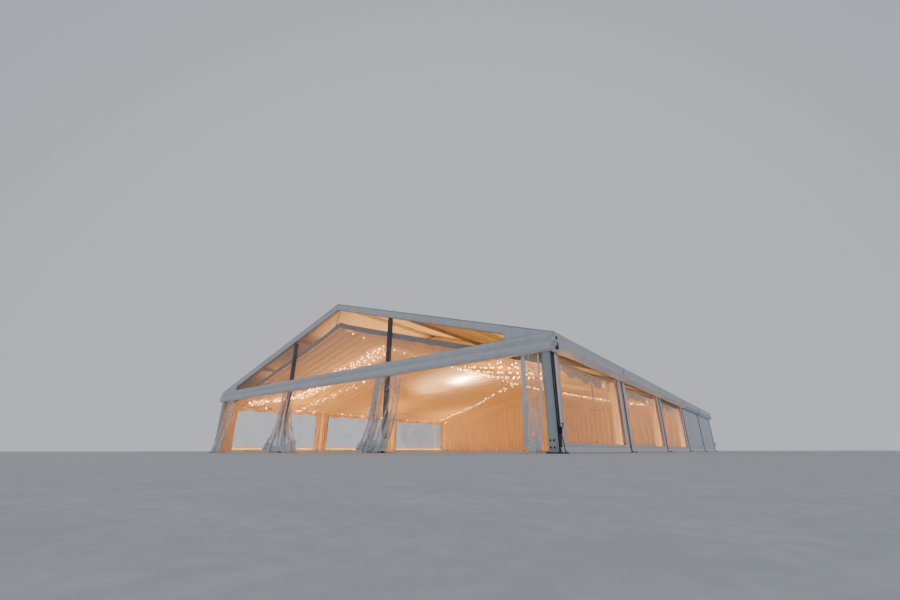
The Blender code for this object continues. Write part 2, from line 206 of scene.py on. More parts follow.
class Effects:
    """Shared surface effects, each a node group that is built once."""

    @staticmethod
    def soft_wrinkles() -> bpy.types.NodeTree:
        """Broad soft wrinkles of coated sheet, as a height."""
        sketch = EffectSketch("soft_wrinkles", {"Scale": 2.0, "Twist": 0.5}, ["Height"])
        scale, twist = sketch.given["Scale"], sketch.given["Twist"]
        broad = sketch.noise(scale, 3.0, twist)
        creases = sketch.noise(sketch.math("MULTIPLY", scale, 5.0), 2.0, twist)
        return sketch.finish(Height=sketch.math("ADD", broad, sketch.math("MULTIPLY", creases, 0.25)))

    @staticmethod
    def fine_weave() -> bpy.types.NodeTree:
        """The threads of a woven base, as a height."""
        sketch = EffectSketch("fine_weave", {"Threads": 300.0}, ["Height"])
        inputs = {"Vector": sketch.place, "Scale": sketch.given["Threads"], "Distortion": 0.4}
        total = None
        for axis in "XYZ":
            wave = sketch.node("TexWave", inputs, bands_direction=axis).outputs["Fac"]
            total = wave if total is None else sketch.math("ADD", total, wave)
        return sketch.finish(Height=sketch.math("MULTIPLY", total, 1 / 3))

    @staticmethod
    def weather_marks() -> bpy.types.NodeTree:
        """Clean colour with faint cloudy marks and streaks that run down."""
        inputs = {"Clean": (1, 1, 1, 1), "Marked": (0.5, 0.5, 0.5, 1), "Amount": 0.3, "Scale": 1.0}
        sketch = EffectSketch("weather_marks", inputs, ["Color", "Mask"])
        clouds = sketch.noise(sketch.given["Scale"], 6.0)
        streaks = sketch.noise(sketch.given["Scale"], 4.0, drawn=(5.0, 5.0, 0.4))
        marked = sketch.fit(sketch.math("MULTIPLY", clouds, streaks), (0.18, 0.42))
        mask = sketch.math("MULTIPLY", marked, sketch.given["Amount"])
        colour = sketch.blend(mask, sketch.given["Clean"], sketch.given["Marked"])
        return sketch.finish(Color=colour, Mask=mask)

    @staticmethod
    def drawn_metal() -> bpy.types.NodeTree:
        """Roughness that varies in long lines, as on an extruded bar."""
        inputs = {"Smooth": 0.25, "Dull": 0.5, "Lines": 60.0}
        sketch = EffectSketch("drawn_metal", inputs, ["Roughness", "Height"])
        lines = sketch.noise(sketch.given["Lines"], 3.0, drawn=(1.0, 1.0, 0.02))
        rough = sketch.fit(lines, (0.3, 0.7), (sketch.given["Smooth"], sketch.given["Dull"]))
        return sketch.finish(Roughness=rough, Height=lines)

    @staticmethod
    def plank_grain() -> bpy.types.NodeTree:
        """Wood grain along Y, with a colour for each board."""
        inputs = {"Light": (0.6, 0.5, 0.4, 1), "Dark": (0.3, 0.25, 0.2, 1), "Scale": 8.0}
        sketch = EffectSketch("plank_grain", inputs, ["Color", "Height"])
        grain = sketch.noise(sketch.given["Scale"], 8.0, 1.2, (6.0, 0.5, 1.0))
        tone = sketch.node("ObjectInfo").outputs["Random"]
        island = sketch.node("NewGeometry").outputs["Random Per Island"]
        shade = sketch.math("MULTIPLY", sketch.math("ADD", island, tone), 0.35)
        mask = sketch.math("ADD", sketch.math("MULTIPLY", grain, 0.7), shade)
        colour = sketch.blend(mask, sketch.given["Dark"], sketch.given["Light"])
        return sketch.finish(Color=colour, Height=grain)

    @staticmethod
    def pane_haze() -> bpy.types.NodeTree:
        """How solid a clear sheet looks: clear, with cloudy patches where it is creased or dusty."""
        inputs = {"Clear": 0.1, "Hazy": 0.5, "Scale": 1.5, "Foot": 0.01}
        sketch = EffectSketch("pane_haze", inputs, ["Alpha", "Height"])
        clouds = sketch.noise(sketch.given["Scale"], 5.0, 1.5)
        haze = sketch.fit(clouds, (0.54, 0.80), (sketch.given["Clear"], sketch.given["Hazy"]))
        height = sketch.node("SeparateXYZ", {"Vector": sketch.place}).outputs["Z"]
        foot = sketch.fit(height, (0.0, sketch.given["Foot"]), (0.55, 0.0))
        return sketch.finish(Alpha=sketch.math("ADD", haze, foot), Height=clouds)

    @classmethod
    def get(cls, name: str) -> bpy.types.NodeTree:
        """The effect of that name, built on its first use."""
        return bpy.data.node_groups.get(name) or getattr(cls, name)()


@dataclass(frozen=True)
class Finish:
    """A procedural finish: one material, made on its first use."""

    name: str
    colour: Colour
    roughness: float = 0.5

    def material(self) -> bpy.types.Material:
        """The finish's material."""
        return bpy.data.materials.get(self.name) or self.mix()

    def start(self, **more: object) -> tuple[NodeSketch, bpy.types.Node, bpy.types.Material]:
        """Makes the material and sets its shader's plain values.

        Args:
            **more: values beside the colour and the roughness, by input name with _ for each space.

        Returns:
            The sketch of its tree, its Principled shader and the material.
        """
        made = bpy.data.materials.new(self.name)
        made.use_nodes = True
        made.diffuse_color = opaque(self.colour)
        shader = made.node_tree.nodes["Principled BSDF"]
        for name, value in {"Base_Color": opaque(self.colour), "Roughness": self.roughness, **more}.items():
            shader.inputs[name.replace("_", " ")].default_value = value
        return NodeSketch(made.node_tree), shader, made

    def effect(self, sketch: NodeSketch, name: str, **values: object) -> bpy.types.Node:
        """Places a shared effect with this finish's own values."""
        placed = sketch.node("Group", node_tree=Effects.get(name))
        for label, value in values.items():
            placed.inputs[label].default_value = value
        return placed

    def marks(self, sketch: NodeSketch, shader: bpy.types.Node, marked: Colour, amount: float,
              scale: float) -> bpy.types.Node:
        """Colours the shader with the finish's own colour and faint marks on it.

        Args:
            sketch: the material's sketch.
            shader: its Principled shader.
            marked: the marks' colour.
            amount: how strong they are.
            scale: how small they are.

        Returns:
            The effect's node.
        """
        placed = self.effect(sketch, "weather_marks", Clean=opaque(self.colour), Marked=opaque(marked),
                             Amount=amount, Scale=scale)
        sketch.link(placed.outputs["Color"], shader, "Base Color")
        return placed

    def bump(self, sketch: NodeSketch, shader: bpy.types.Node, heights: list, strength: float,
             distance: float) -> None:
        """Feeds the sum of some heights through one bump into the shader.

        Args:
            sketch: the material's sketch.
            shader: its Principled shader.
            heights: pairs of a height socket and its share.
            strength: the bump's strength.
            distance: the bump's depth in metres.
        """
        total = None
        for socket, share in heights:
            part = sketch.math("MULTIPLY", socket, share)
            total = part if total is None else sketch.math("ADD", total, part)
        raised = sketch.node("Bump", {"Height": total, "Strength": strength, "Distance": distance})
        sketch.link(raised.outputs[0], shader, "Normal")

    def mix(self) -> bpy.types.Material:
        """A plain scuffed surface, for small fittings."""
        sketch, shader, made = self.start()
        paler = tuple(min(1.0, part * 1.6 + 0.04) for part in self.colour)
        self.marks(sketch, shader, paler, 0.25, 9.0)
        wrinkles = self.effect(sketch, "soft_wrinkles", Scale=30.0)
        self.bump(sketch, shader, [(wrinkles.outputs[0], 1.0)], 0.15, 0.002)
        return made


@dataclass(frozen=True)
class CoatedSheet(Finish):
    """White coated sheet: a slight weave, soft wrinkles, faint marks and, where glow is set, a painted glow
    that stands for warm lamp light through it.
    """

    marked: Colour = (0.55, 0.57, 0.58)
    amount: float = 0.30
    wrinkle: float = 0.012
    # Strength of the painted glow: warm emission in place of lamp light through the sheet.
    glow: float = 0.0

    def mix(self) -> bpy.types.Material:
        """The sheet's material."""
        sketch, shader, made = self.start(Specular_IOR_Level=0.35, Emission_Color=PAINTED_GLOW_COLOUR,
                                          Emission_Strength=self.glow)
        marks = self.marks(sketch, shader, self.marked, self.amount, 0.9)
        dulled = sketch.math("ADD", sketch.math("MULTIPLY", marks.outputs["Mask"], 0.25), self.roughness)
        sketch.link(dulled, shader, "Roughness")
        wrinkles = self.effect(sketch, "soft_wrinkles", Scale=1.7, Twist=0.8)
        weave = self.effect(sketch, "fine_weave", Threads=90.0)
        self.bump(sketch, shader, [(wrinkles.outputs[0], 1.0), (weave.outputs[0], 0.03)], 0.55, self.wrinkle)
        return made


@dataclass(frozen=True)
class ClearSheet(Finish):
    """Clear flexible sheet: see-through, with haze, soft wrinkles and a wet-looking gloss."""

    clear: float = 0.02
    hazy: float = 0.22
    haze_scale: float = 1.1
    wrinkle: float = 0.02
    rim: float = 0.45
    foot: float = 0.01

    def mix(self) -> bpy.types.Material:
        """The sheet's material."""
        sketch, shader, made = self.start(Specular_IOR_Level=0.6)
        haze = self.effect(sketch, "pane_haze", Clear=self.clear, Hazy=self.hazy, Scale=self.haze_scale,
                           Foot=self.foot)
        rim = sketch.math("MULTIPLY", sketch.node("Fresnel", {"IOR": 1.4}).outputs[0], self.rim)
        solid = sketch.node("Math", {0: haze.outputs["Alpha"], 1: rim}, operation="ADD", use_clamp=True)
        sketch.link(solid.outputs[0], shader, "Alpha")
        wrinkles = self.effect(sketch, "soft_wrinkles", Scale=1.4, Twist=1.6)
        parts = [(wrinkles.outputs[0], 1.0), (haze.outputs["Height"], 0.5)]
        self.bump(sketch, shader, parts, 0.5, self.wrinkle)
        return made


@dataclass(frozen=True)
class Metal(Finish):
    """Extruded aluminium or coated steel, dull in long lines."""

    dull: float = 0.5
    metallic: float = 0.9
    scuff: Colour = (0.4, 0.4, 0.4)

    def mix(self) -> bpy.types.Material:
        """The metal's material."""
        sketch, shader, made = self.start(Metallic=self.metallic)
        lines = self.effect(sketch, "drawn_metal", Smooth=self.roughness, Dull=self.dull)
        self.marks(sketch, shader, self.scuff, 0.35, 2.5)
        sketch.link(lines.outputs["Roughness"], shader, "Roughness")
        self.bump(sketch, shader, [(lines.outputs["Height"], 1.0)], 0.12, 0.001)
        return made


@dataclass(frozen=True)
class Cloth(Finish):
    """Woven lining cloth: a fine weave, small creases, a soft sheen and, where glow is set, a painted glow
    that stands for warm lamp light through it.
    """

    deep: Colour = (0.5, 0.4, 0.3)
    threads: float = 160.0
    # Strength of the painted glow: warm emission in place of lamp light through the cloth.
    glow: float = 0.0

    def mix(self) -> bpy.types.Material:
        """The cloth's material."""
        sketch, shader, made = self.start(Sheen_Weight=0.25, Sheen_Roughness=0.4, Specular_IOR_Level=0.3,
                                          Emission_Color=PAINTED_GLOW_COLOUR, Emission_Strength=self.glow)
        self.marks(sketch, shader, self.deep, 0.22, 0.8)
        weave = self.effect(sketch, "fine_weave", Threads=self.threads)
        wrinkles = self.effect(sketch, "soft_wrinkles", Scale=6.0, Twist=1.0)
        self.bump(sketch, shader, [(wrinkles.outputs[0], 1.0), (weave.outputs[0], 0.08)], 0.4, 0.008)
        return made


@dataclass(frozen=True)
class Boards(Finish):
    """Matt floor boards with grain along their length."""

    dark: Colour = (0.26, 0.21, 0.17)

    def mix(self) -> bpy.types.Material:
        """The boards' material."""
        sketch, shader, made = self.start()
        grain = self.effect(sketch, "plank_grain", Light=opaque(self.colour), Dark=opaque(self.dark))
        sketch.link(grain.outputs["Color"], shader, "Base Color")
        self.bump(sketch, shader, [(grain.outputs["Height"], 1.0)], 0.3, 0.003)
        return made


@dataclass(frozen=True)
class Glow(Finish):
    """The lit glass of a small warm bulb."""

    strength: float = 60.0

    def mix(self) -> bpy.types.Material:
        """The bulb's material, redder on some bulbs than on others."""
        sketch, shader, made = self.start(Emission_Strength=self.strength)
        island = sketch.node("NewGeometry").outputs["Random Per Island"]
        deep = (self.colour[0], self.colour[1] * 0.55, self.colour[2] * 0.3)
        tone = sketch.node("Mix", {0: island, 6: opaque(self.colour), 7: opaque(deep)}, data_type="RGBA")
        sketch.link(tone.outputs[2], shader, "Emission Color")
        made.cycles.emission_sampling = "NONE"
        return made


WHITE_SHEET = CoatedSheet("white_sheet_finish", (0.80, 0.815, 0.83), 0.42)
WHITE_HEM = CoatedSheet("white_hem_finish", (0.86, 0.87, 0.88), 0.38, amount=0.2, wrinkle=0.02)
KEDER_BEAD = CoatedSheet("keder_bead_finish", (0.62, 0.63, 0.65), 0.5, amount=0.4)
CLEAR_PANE = ClearSheet("clear_pane_finish", (0.36, 0.38, 0.41), 0.08, clear=0.01, hazy=0.10, rim=0.25)
GABLE_PANE = ClearSheet("gable_pane_finish", (0.40, 0.42, 0.45), 0.08, clear=0.01, hazy=0.12, rim=0.25)
CLEAR_CURTAIN = ClearSheet("clear_curtain_finish", (0.88, 0.90, 0.93), 0.16, clear=0.14, hazy=0.60,
                           haze_scale=2.0, wrinkle=0.03, rim=0.9, foot=1.1)
LEG_METAL = Metal("leg_metal_finish", (0.60, 0.64, 0.65), 0.34, dull=0.55, metallic=0.3)
# Painted shade: near-black, non-metallic aluminium for the gable's posts and brackets, the legs' outer faces
# and the strip beside the front corner leg, all standing in shadow.
PAINTED_SHADE_METAL = Metal("dark_metal_finish", (0.016, 0.017, 0.020), 0.5, dull=0.7, metallic=0.0,
                   scuff=(0.04, 0.04, 0.04))
MILL_METAL = Metal("mill_metal_finish", (0.62, 0.63, 0.64), 0.25, dull=0.5, metallic=0.95)
BLACK_STEEL = Metal("black_steel_finish", (0.03, 0.03, 0.035), 0.45, dull=0.7, metallic=0.6,
                    scuff=(0.12, 0.11, 0.10))
ZINC_BOLT = Metal("zinc_bolt_finish", (0.50, 0.50, 0.48), 0.3, dull=0.6, metallic=0.95)
BLACK_PLASTIC = Finish("black_plastic_finish", (0.02, 0.02, 0.022), 0.45)
DARK_WEBBING = Cloth("dark_webbing_finish", (0.07, 0.07, 0.08), 0.8, deep=(0.03, 0.03, 0.03), threads=260.0)
# Painted glow: the ivory lining glows faintly warm, standing in for the hall's lamps shining through it.
IVORY_CLOTH = Cloth("ivory_cloth_finish", (0.84, 0.74, 0.58), 0.75, deep=(0.70, 0.58, 0.42), glow=0.10)
# Painted glow: a copy of the white sheet with warm emission, for the wall borders beside the windows, in
# place of lamp light through them.
PAINTED_GLOW_SHEET = CoatedSheet("lit_sheet_finish", (0.80, 0.815, 0.83), 0.42, glow=0.10)
# Painted shade: a greyer copy of the ivory lining cloth, for the ceiling's front border that stands in shade.
SHADED_CLOTH = Cloth("shaded_border_finish", (0.50, 0.47, 0.44), 0.8, deep=(0.36, 0.34, 0.32))
FLOOR_BOARDS = Boards("floor_boards_finish", (0.50, 0.40, 0.31), 0.55)
PALE_EDGE = Metal("pale_edge_finish", (0.86, 0.80, 0.68), 0.5, dull=0.7, metallic=0.0,
                  scuff=(0.60, 0.52, 0.42))
WARM_BULB = Glow("warm_bulb_finish", (1.0, 0.62, 0.26), 0.3, strength=48.0)


class Ripples:
    """Smooth seeded waves over two directions, for cloth that isn't flat."""

    def __init__(self, seed: int, count: int = 8) -> None:
        """Draws the waves' directions and phases."""
        draw = random.Random(seed)
        self.waves = [(draw.uniform(-1, 1), draw.uniform(-1, 1), draw.uniform(0, TAU)) for _ in range(count)]

    def at(self, u: np.ndarray, v: np.ndarray, length: float) -> np.ndarray:
        """Heights from about -1 to 1.

        Args:
            u: first coordinate of each point, in metres.
            v: second coordinate of each point, in metres.
            length: the shortest wave's length, in metres.

        Returns:
            The waves' height at each point.
        """
        total = sum(np.sin((a * u + b * v) * TAU / length + phase) for a, b, phase in self.waves)
        return total / math.sqrt(len(self.waves)) / 1.4

    def along(self, u: np.ndarray, length: float) -> np.ndarray:
        """Heights that change along one direction only."""
        return self.at(u, u * 0, length)


class Shape:
    """A mesh that is gathered from surfaces, prisms, tubes and bolts, and then made into a piece."""

    def __init__(self) -> None:
        """Starts with no points."""
        self.points: list = []
        self.faces: list = []
        self.marks: list[int] = []

    def add(self, points: Sequence, faces: Sequence, mark: int = 0) -> None:
        """Adds points and the faces between them, all with one finish number."""
        base = len(self.points)
        self.points.extend(points)
        self.faces.extend([tuple(base + index for index in face) for face in faces])
        self.marks.extend([mark] * len(faces))

    def surface(self, x: Values, y: Values, z: Values, mark: int | np.ndarray = 0,
                keep: np.ndarray | None = None) -> None:
        """Adds a grid of quads.

        Args:
            x: the points' x, as an array of rows and columns; y and z are alike, or spread to fit.
            y: the points' y.
            z: the points' z.
            mark: finish number, or one for each cell.
            keep: which cells are there, or all of them.
        """
        grid = np.stack(np.broadcast_arrays(x, y, z), axis=-1)
        rows, columns = grid.shape[:2]
        marks = np.broadcast_to(mark, (rows - 1, columns - 1))
        base = len(self.points)
        self.points.extend(grid.reshape(-1, 3).tolist())
        for row in range(rows - 1):
            for column in range(columns - 1):
                if keep is not None and not keep[row][column]:
                    continue
                near = base + row * columns + column
                self.faces.append((near, near + 1, near + columns + 1, near + columns))
                self.marks.append(int(marks[row][column]))

    def cap(self, x: np.ndarray, y: np.ndarray, z: np.ndarray, column: int) -> None:
        """Closes the end of a rolled surface with one face through a column of its points."""
        rim = np.stack(np.broadcast_arrays(x, y, z), axis=-1)[:, column].tolist()
        self.add(rim, [tuple(range(len(rim)))])

    def loft(self, foot: Sequence[Triple], head: Sequence[Triple], mark: int = 0) -> None:
        """Joins two outlines of as many points by sides, and closes both."""
        count = len(foot)
        sides = [(i, (i + 1) % count, count + (i + 1) % count, count + i) for i in range(count)]
        self.add([*foot, *head], [*sides, tuple(range(count)), tuple(range(count, 2 * count))], mark)

    def prism(self, axis: str, outline: Sequence[Pair], start: float, end: float, mark: int = 0) -> None:
        """Adds a flat outline that is drawn out along an axis, with both ends closed.

        Args:
            axis: X, Y or Z.
            outline: the outline's points, in the other two axes' order.
            start: where it starts along the axis.
            end: where it ends along the axis.
            mark: finish number.
        """
        at = "XYZ".index(axis)
        ends = [[(*point[:at], distance, *point[at:]) for point in outline] for distance in (start, end)]
        self.loft(*ends, mark)

    def box(self, corner: Sequence[float], other: Sequence[float], mark: int = 0) -> None:
        """Adds a box between two opposite corners, in any order."""
        (west, east), (near, far), (low, high) = (sorted(ends) for ends in zip(corner, other))
        self.prism("Z", [(west, near), (east, near), (east, far), (west, far)], low, high, mark)

    def tube(self, path: Sequence, radii: float | Sequence[float], sides: int = 8, mark: int = 0) -> None:
        """Adds a round bar along a path, with closed ends.

        Args:
            path: the centre line's points.
            radii: one radius, or one for each point.
            sides: how many sides it has.
            mark: finish number.
        """
        line = [Vector(point) for point in path]
        sizes = [radii] * len(line) if isinstance(radii, (int, float)) else radii
        heading = (line[1] - line[0]).normalized()
        across = heading.orthogonal().normalized()
        points = []
        for index, (centre, radius) in enumerate(zip(line, sizes)):
            ahead = line[min(index + 1, len(line) - 1)] - line[max(index - 1, 0)]
            across = (across - across.project(ahead)).normalized()
            upward = ahead.normalized().cross(across)
            for step in range(sides):
                angle = TAU * step / sides
                points.append(centre + radius * (math.cos(angle) * across + math.sin(angle) * upward))
        faces = [tuple(range(sides)), tuple(range(len(points) - sides, len(points)))]
        for ring in range(len(line) - 1):
            for step in range(sides):
                follows = (step + 1) % sides
                faces.append((ring * sides + step, ring * sides + follows, (ring + 1) * sides + follows,
                              (ring + 1) * sides + step))
        self.add(points, faces, mark)

    def bolt(self, foot: Sequence[float], outward: Sequence[float], radius: float = 0.012,
             mark: int = 0) -> None:
        """Adds a washer with a hexagonal head and the end of its thread.

        Args:
            foot: where it meets the surface.
            outward: the direction it stands in, of length 1.
            radius: the head's radius.
            mark: finish number.
        """
        start, way = Vector(foot), Vector(outward)
        self.tube([start, start + way * radius * 0.2], radius * 1.5, 14, mark)
        self.tube([start + way * radius * 0.2, start + way * radius], radius, 6, mark)
        self.tube([start + way * radius, start + way * radius * 1.5], radius * 0.5, 8, mark)

    def piece(self, name: str, finishes: Sequence[Finish], replaces: Sequence[str] = (),
              thickness: float = 0.0, bevel: float = 0.0, sharp: float = 35.0) -> bpy.types.Object:
        """Makes the object and fixes it to the frame.

        Args:
            name: the piece's name.
            finishes: its finishes, in the order of the finish numbers.
            replaces: the frame's nodes that it stands for.
            thickness: how thick its surfaces are made.
            bevel: the width of its rounded edges.
            sharp: the angle in degrees from which an edge stays sharp.

        Returns:
            The new object.
        """
        mesh = bpy.data.meshes.new(name)
        mesh.from_pydata(self.points, [], self.faces)
        for finish in finishes:
            mesh.materials.append(finish.material())
        mesh.polygons.foreach_set("material_index", self.marks)
        work = bmesh.new()
        work.from_mesh(mesh)
        bmesh.ops.delete(work, geom=[vert for vert in work.verts if not vert.link_faces], context="VERTS")
        bmesh.ops.recalc_face_normals(work, faces=work.faces)
        work.to_mesh(mesh)
        work.free()
        mesh.shade_smooth()
        mesh.set_sharp_from_angle(angle=math.radians(sharp))
        made = bpy.data.objects.new(name, mesh)
        bpy.context.scene.collection.objects.link(made)
        if bevel:
            rounding = made.modifiers.new("rounded edges", "BEVEL")
            rounding.width = bevel
            rounding.segments = 2
            rounding.limit_method = "ANGLE"
        if thickness:
            solid = made.modifiers.new("sheet thickness", "SOLIDIFY")
            solid.thickness = thickness
            solid.offset = 0.0
        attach(made, "root")
        if replaces:
            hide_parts(*replaces)
        LOG.info("%s: %d faces", name, len(self.faces))
        return made


def spread(start: float, end: float, count: int) -> np.ndarray:
    """That many places from start to end, both included."""
    return np.linspace(start, end, count)


def row_of(start: float, end: float, count: int) -> np.ndarray:
    """Places from start to end along a grid's rows."""
    return spread(start, end, count)[None, :]


def column_of(start: float, end: float, count: int) -> np.ndarray:
    """Places from start to end down a grid's columns."""
    return spread(start, end, count)[:, None]


def through(stations: Sequence[Sequence[float]], at: np.ndarray, column: int) -> np.ndarray:
    """Reads one column of rising stations at other places, by straight lines between them."""
    keys = [row[0] for row in stations]
    return np.interp(at, keys, [row[column] for row in stations])


@dataclass(frozen=True)
class Layout:
    """The tent's main places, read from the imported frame."""

    half_span: float
    leg_inner_x: float
    fascia_x: float
    fascia_bottom: float
    ridge_z: float
    gable_y: float
    verge_y: float
    floor_z: float
    lining_start: float
    lining_end: float
    lining_front_z: float
    lining_edge_z: float
    frame_ys: tuple[float, ...]
    slope: float = math.tan(math.radians(17.2))
    frame_half: float = 0.055
    sheet: float = 0.012
    rafter_depth: float = 0.2094
    rafter_gap: float = 0.0129
    lining_ridge_z: float = 3.68
    lining_sag: float = 0.03
    lining_lift: float = 3.6
    lining_inset: float = 0.10

    @classmethod
    def from_frame(cls) -> "Layout":
        """Reads the places from the frame's nodes."""
        roof_low, roof_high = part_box("roof_sheet_1")
        lining_low, lining_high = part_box("roof_lining")
        centres = tuple(sum(corner.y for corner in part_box(f"rafters_{n}")) / 2 for n in range(1, 7))
        return cls(
            half_span=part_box("rafters_1")[1].x,
            leg_inner_x=lining_high.x,
            fascia_x=roof_high.x,
            fascia_bottom=roof_low.z,
            ridge_z=roof_high.z,
            gable_y=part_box("gable_border_front")[0].y,
            verge_y=roof_low.y,
            floor_z=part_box("floor")[1].z,
            lining_start=lining_low.y,
            lining_end=lining_high.y,
            lining_front_z=lining_high.z,
            lining_edge_z=lining_low.z + cls.sheet,
            frame_ys=centres,
        )

    @property
    def eave_z(self) -> float:
        """Height of the roof's outer edge."""
        return self.ridge_z - self.fascia_x * self.slope

    @property
    def bay_count(self) -> int:
        """How many bays the tent has."""
        return len(self.frame_ys) - 1

    def roof_z(self, x: Values) -> Values:
        """Height of the roof's upper face."""
        return self.ridge_z - np.abs(x) * self.slope

    def rafter_under(self, x: Values) -> Values:
        """Height of the rafters' lower face."""
        return self.roof_z(x) - self.rafter_gap - self.rafter_depth

    def lining_z(self, x: Values, y: Values) -> Values:
        """Height of the roof lining's upper face, whose ridge is drawn up at the front edge."""
        lift = np.clip(1 - (y - self.lining_start) / self.lining_lift, 0, 1) ** 2
        ridge = self.lining_ridge_z + (self.lining_front_z - self.lining_ridge_z) * lift
        share = np.minimum(np.abs(x) / (self.leg_inner_x - self.lining_inset), 1.0)
        return ridge + (self.lining_edge_z - ridge) * share - 4 * self.lining_sag * share * (1 - share)

    def bay(self, number: int) -> Pair:
        """Start and end in y of a bay, between the middles of its frames."""
        return self.frame_ys[number - 1], self.frame_ys[number]


@dataclass
class Studio:
    """The camera at the photo's viewpoint, a pale floor, and soft light inside and outside."""

    eye: Triple = (10.834, -20.214, 0.052)
    yaw: float = math.radians(-37.99)
    rise: float = math.radians(20.93)
    roll: float = math.radians(-0.07)
    floor_colour: Colour = (0.58, 0.59, 0.60)
    sky_colour: Colour = (0.46, 0.52, 0.62)
    pale_sky: Colour = (0.98, 1.02, 1.10)
    pale_way: Triple = (-0.6, 0.8, 0.0)
    sky_strength: float = 0.58
    reach: float = 160.0
    view_end: float = 500.0
    cool: Colour = (0.88, 0.94, 1.0)
    warm: Colour = (1.0, 0.42, 0.07)
    bright: Colour = (1.0, 0.63, 0.31)

    def camera(self) -> None:
        """Adds the camera and makes it the scene's own."""
        data = bpy.data.cameras.new("photo_view")
        data.sensor_width = SENSOR_WIDTH
        data.lens = FOCAL_PIXELS / PHOTO_WIDTH * SENSOR_WIDTH
        data.clip_end = self.view_end
        ahead = Vector((math.sin(self.yaw) * math.cos(self.rise), math.cos(self.yaw) * math.cos(self.rise),
                        math.sin(self.rise)))
        right = Vector((math.cos(self.yaw), -math.sin(self.yaw), 0.0))
        upward = right.cross(ahead)
        across = math.cos(self.roll) * right + math.sin(self.roll) * upward
        upward = math.cos(self.roll) * upward - math.sin(self.roll) * right
        camera = bpy.data.objects.new("photo_view", data)
        turned = Matrix((across, upward, -ahead)).transposed().to_4x4()
        camera.matrix_world = Matrix.Translation(self.eye) @ turned
        bpy.context.scene.collection.objects.link(camera)
        bpy.context.scene.camera = camera

    def ground(self) -> None:
        """Adds the pale floor, as wide as the view needs."""
        mesh = bpy.data.meshes.new("studio_floor")
        reach = self.reach
        corners = [(-reach, -reach, 0), (reach, -reach, 0), (reach, reach, 0), (-reach, reach, 0)]
        mesh.from_pydata(corners, [], [(0, 1, 2, 3)])
        floor = bpy.data.objects.new("studio_floor", mesh)
        mesh.materials.append(Finish("studio_floor_finish", self.floor_colour, 0.9).material())
        bpy.context.scene.collection.objects.link(floor)

    def area(self, name: str, place: Sequence[float], aim: Sequence[float], size: Pair, power: float,
             colour: Colour) -> None:
        """Adds a soft light that the camera doesn't see.

        Args:
            name: the light's name.
            place: where its centre is.
            aim: the point that it faces.
            size: its width and height.
            power: its power in watts.
            colour: its colour.
        """
        data = bpy.data.lights.new(name, "AREA")
        data.shape = "RECTANGLE"
        data.size, data.size_y = size
        data.energy = power
        data.color = colour
        lamp = bpy.data.objects.new(name, data)
        lamp.location = place
        lamp.rotation_euler = (Vector(aim) - Vector(place)).to_track_quat("-Z", "Y").to_euler()
        lamp.visible_camera = False
        lamp.visible_glossy = False
        bpy.context.scene.collection.objects.link(lamp)

    def sky(self) -> None:
        """Sets the sky, paler on one side."""
        world = bpy.data.worlds.new("studio_sky")
        world.use_nodes = True
        background = world.node_tree.nodes["Background"]
        background.inputs["Strength"].default_value = self.sky_strength
        sketch = NodeSketch(world.node_tree)
        way = sketch.node("TexCoord").outputs["Generated"]
        toward = sketch.node("VectorMath", {0: way, 1: self.pale_way}, operation="DOT_PRODUCT")
        share = sketch.node("MapRange", {"Value": toward.outputs["Value"], "From Min": -0.2,
                                         "From Max": 0.7}).outputs[0]
        sky = sketch.node("Mix", {0: share, 6: opaque(self.sky_colour), 7: opaque(self.pale_sky)},
                          data_type="RGBA")
        sketch.link(sky.outputs[2], background, "Color")
        bpy.context.scene.world = world

    def outside(self) -> None:
        """Adds the soft lamps around the tent."""
        self.area("key", (-12, -45, 26), (0, -8, 2), (26, 26), 1050, self.cool)
        self.area("low_front", (2, -46, 4), (0, -12, 1.8), (30, 7), 420, self.cool)
        self.area("side_fill", (44, 6, 10), (7.5, 0, 1.5), (30, 12), 520, self.cool)
        self.area("left_fill", (-46, 8, 16), (-7.5, 0, 1.5), (30, 16), 1900, self.cool)
        self.area("back_fill", (12, 48, 20), (0, 12, 2), (30, 16), 2100, self.cool)

    def inside(self) -> None:
        """Adds the warm lamps in the hall, over the lining and behind the drapes."""
        for number, y in enumerate((-10.0, -5.0, 0.0)):
            for side in Side:
                name, s = f"{side.label}_{number}", side.value
                self.area(f"uplight_{name}", (s * 5.6, y, 0.25), (s * 4.2, y, 3), (0.5, 0.5), 62, self.warm)
                x = s * 5.0
                self.area(f"eave_light_{name}", (x, y, 2.72), (x, y, 5), (1.2, 4.0), 20, self.warm)
                x = s * 7.385
                self.area(f"wall_glow_{name}", (x, y, 0.10), (x, y, 2), (0.08, 4.2), 16, self.warm)
            self.area(f"loft_{number}", (0, y, 3.95), (0, y, 6), (4, 4.0), 95, self.warm)
        self.area("front_wash", (-1.6, -10.3, 1.9), (-1.6, -10.5, 4), (3.5, 1.0), 55, self.warm)
        self.area("right_wash", (3.6, -9.3, 1.6), (3.8, -9.3, 4), (2.0, 2.0), 28, self.warm)
        self.area("hall_lamp", (-0.9, -4.3, 2.92), (-0.8, -4.3, 3.5), (0.3, 0.3), 150, self.bright)
        self.area("hall_wash", (-1.5, -5.0, 2.1), (-1.2, -4.8, 3.5), (2.4, 2.6), 60, self.bright)
        for number, y in enumerate((-7.5, -2.5, 2.5), start=2):
            for side in Side:
                name, x = f"drape_glow_{side.label}_{number}", side.value * 7.38
                self.area(name, (x, y - 1.1, 1.0), (x, y - 0.3, 1.1), (0.1, 1.6), 9, self.warm)
        self.area("corner_glow", (7.1, -11.9, 1.35), (7.25, -11.9, 2.0), (0.2, 0.8), 14, self.warm)
        self.area("rear_hall", (0, 7.5, 1.5), (0, 7.5, 4), (11, 8), 60, self.warm)

    def build(self) -> None:
        """Adds all of the studio."""
        self.camera()
        self.ground()
        self.sky()
        self.outside()
        self.inside()


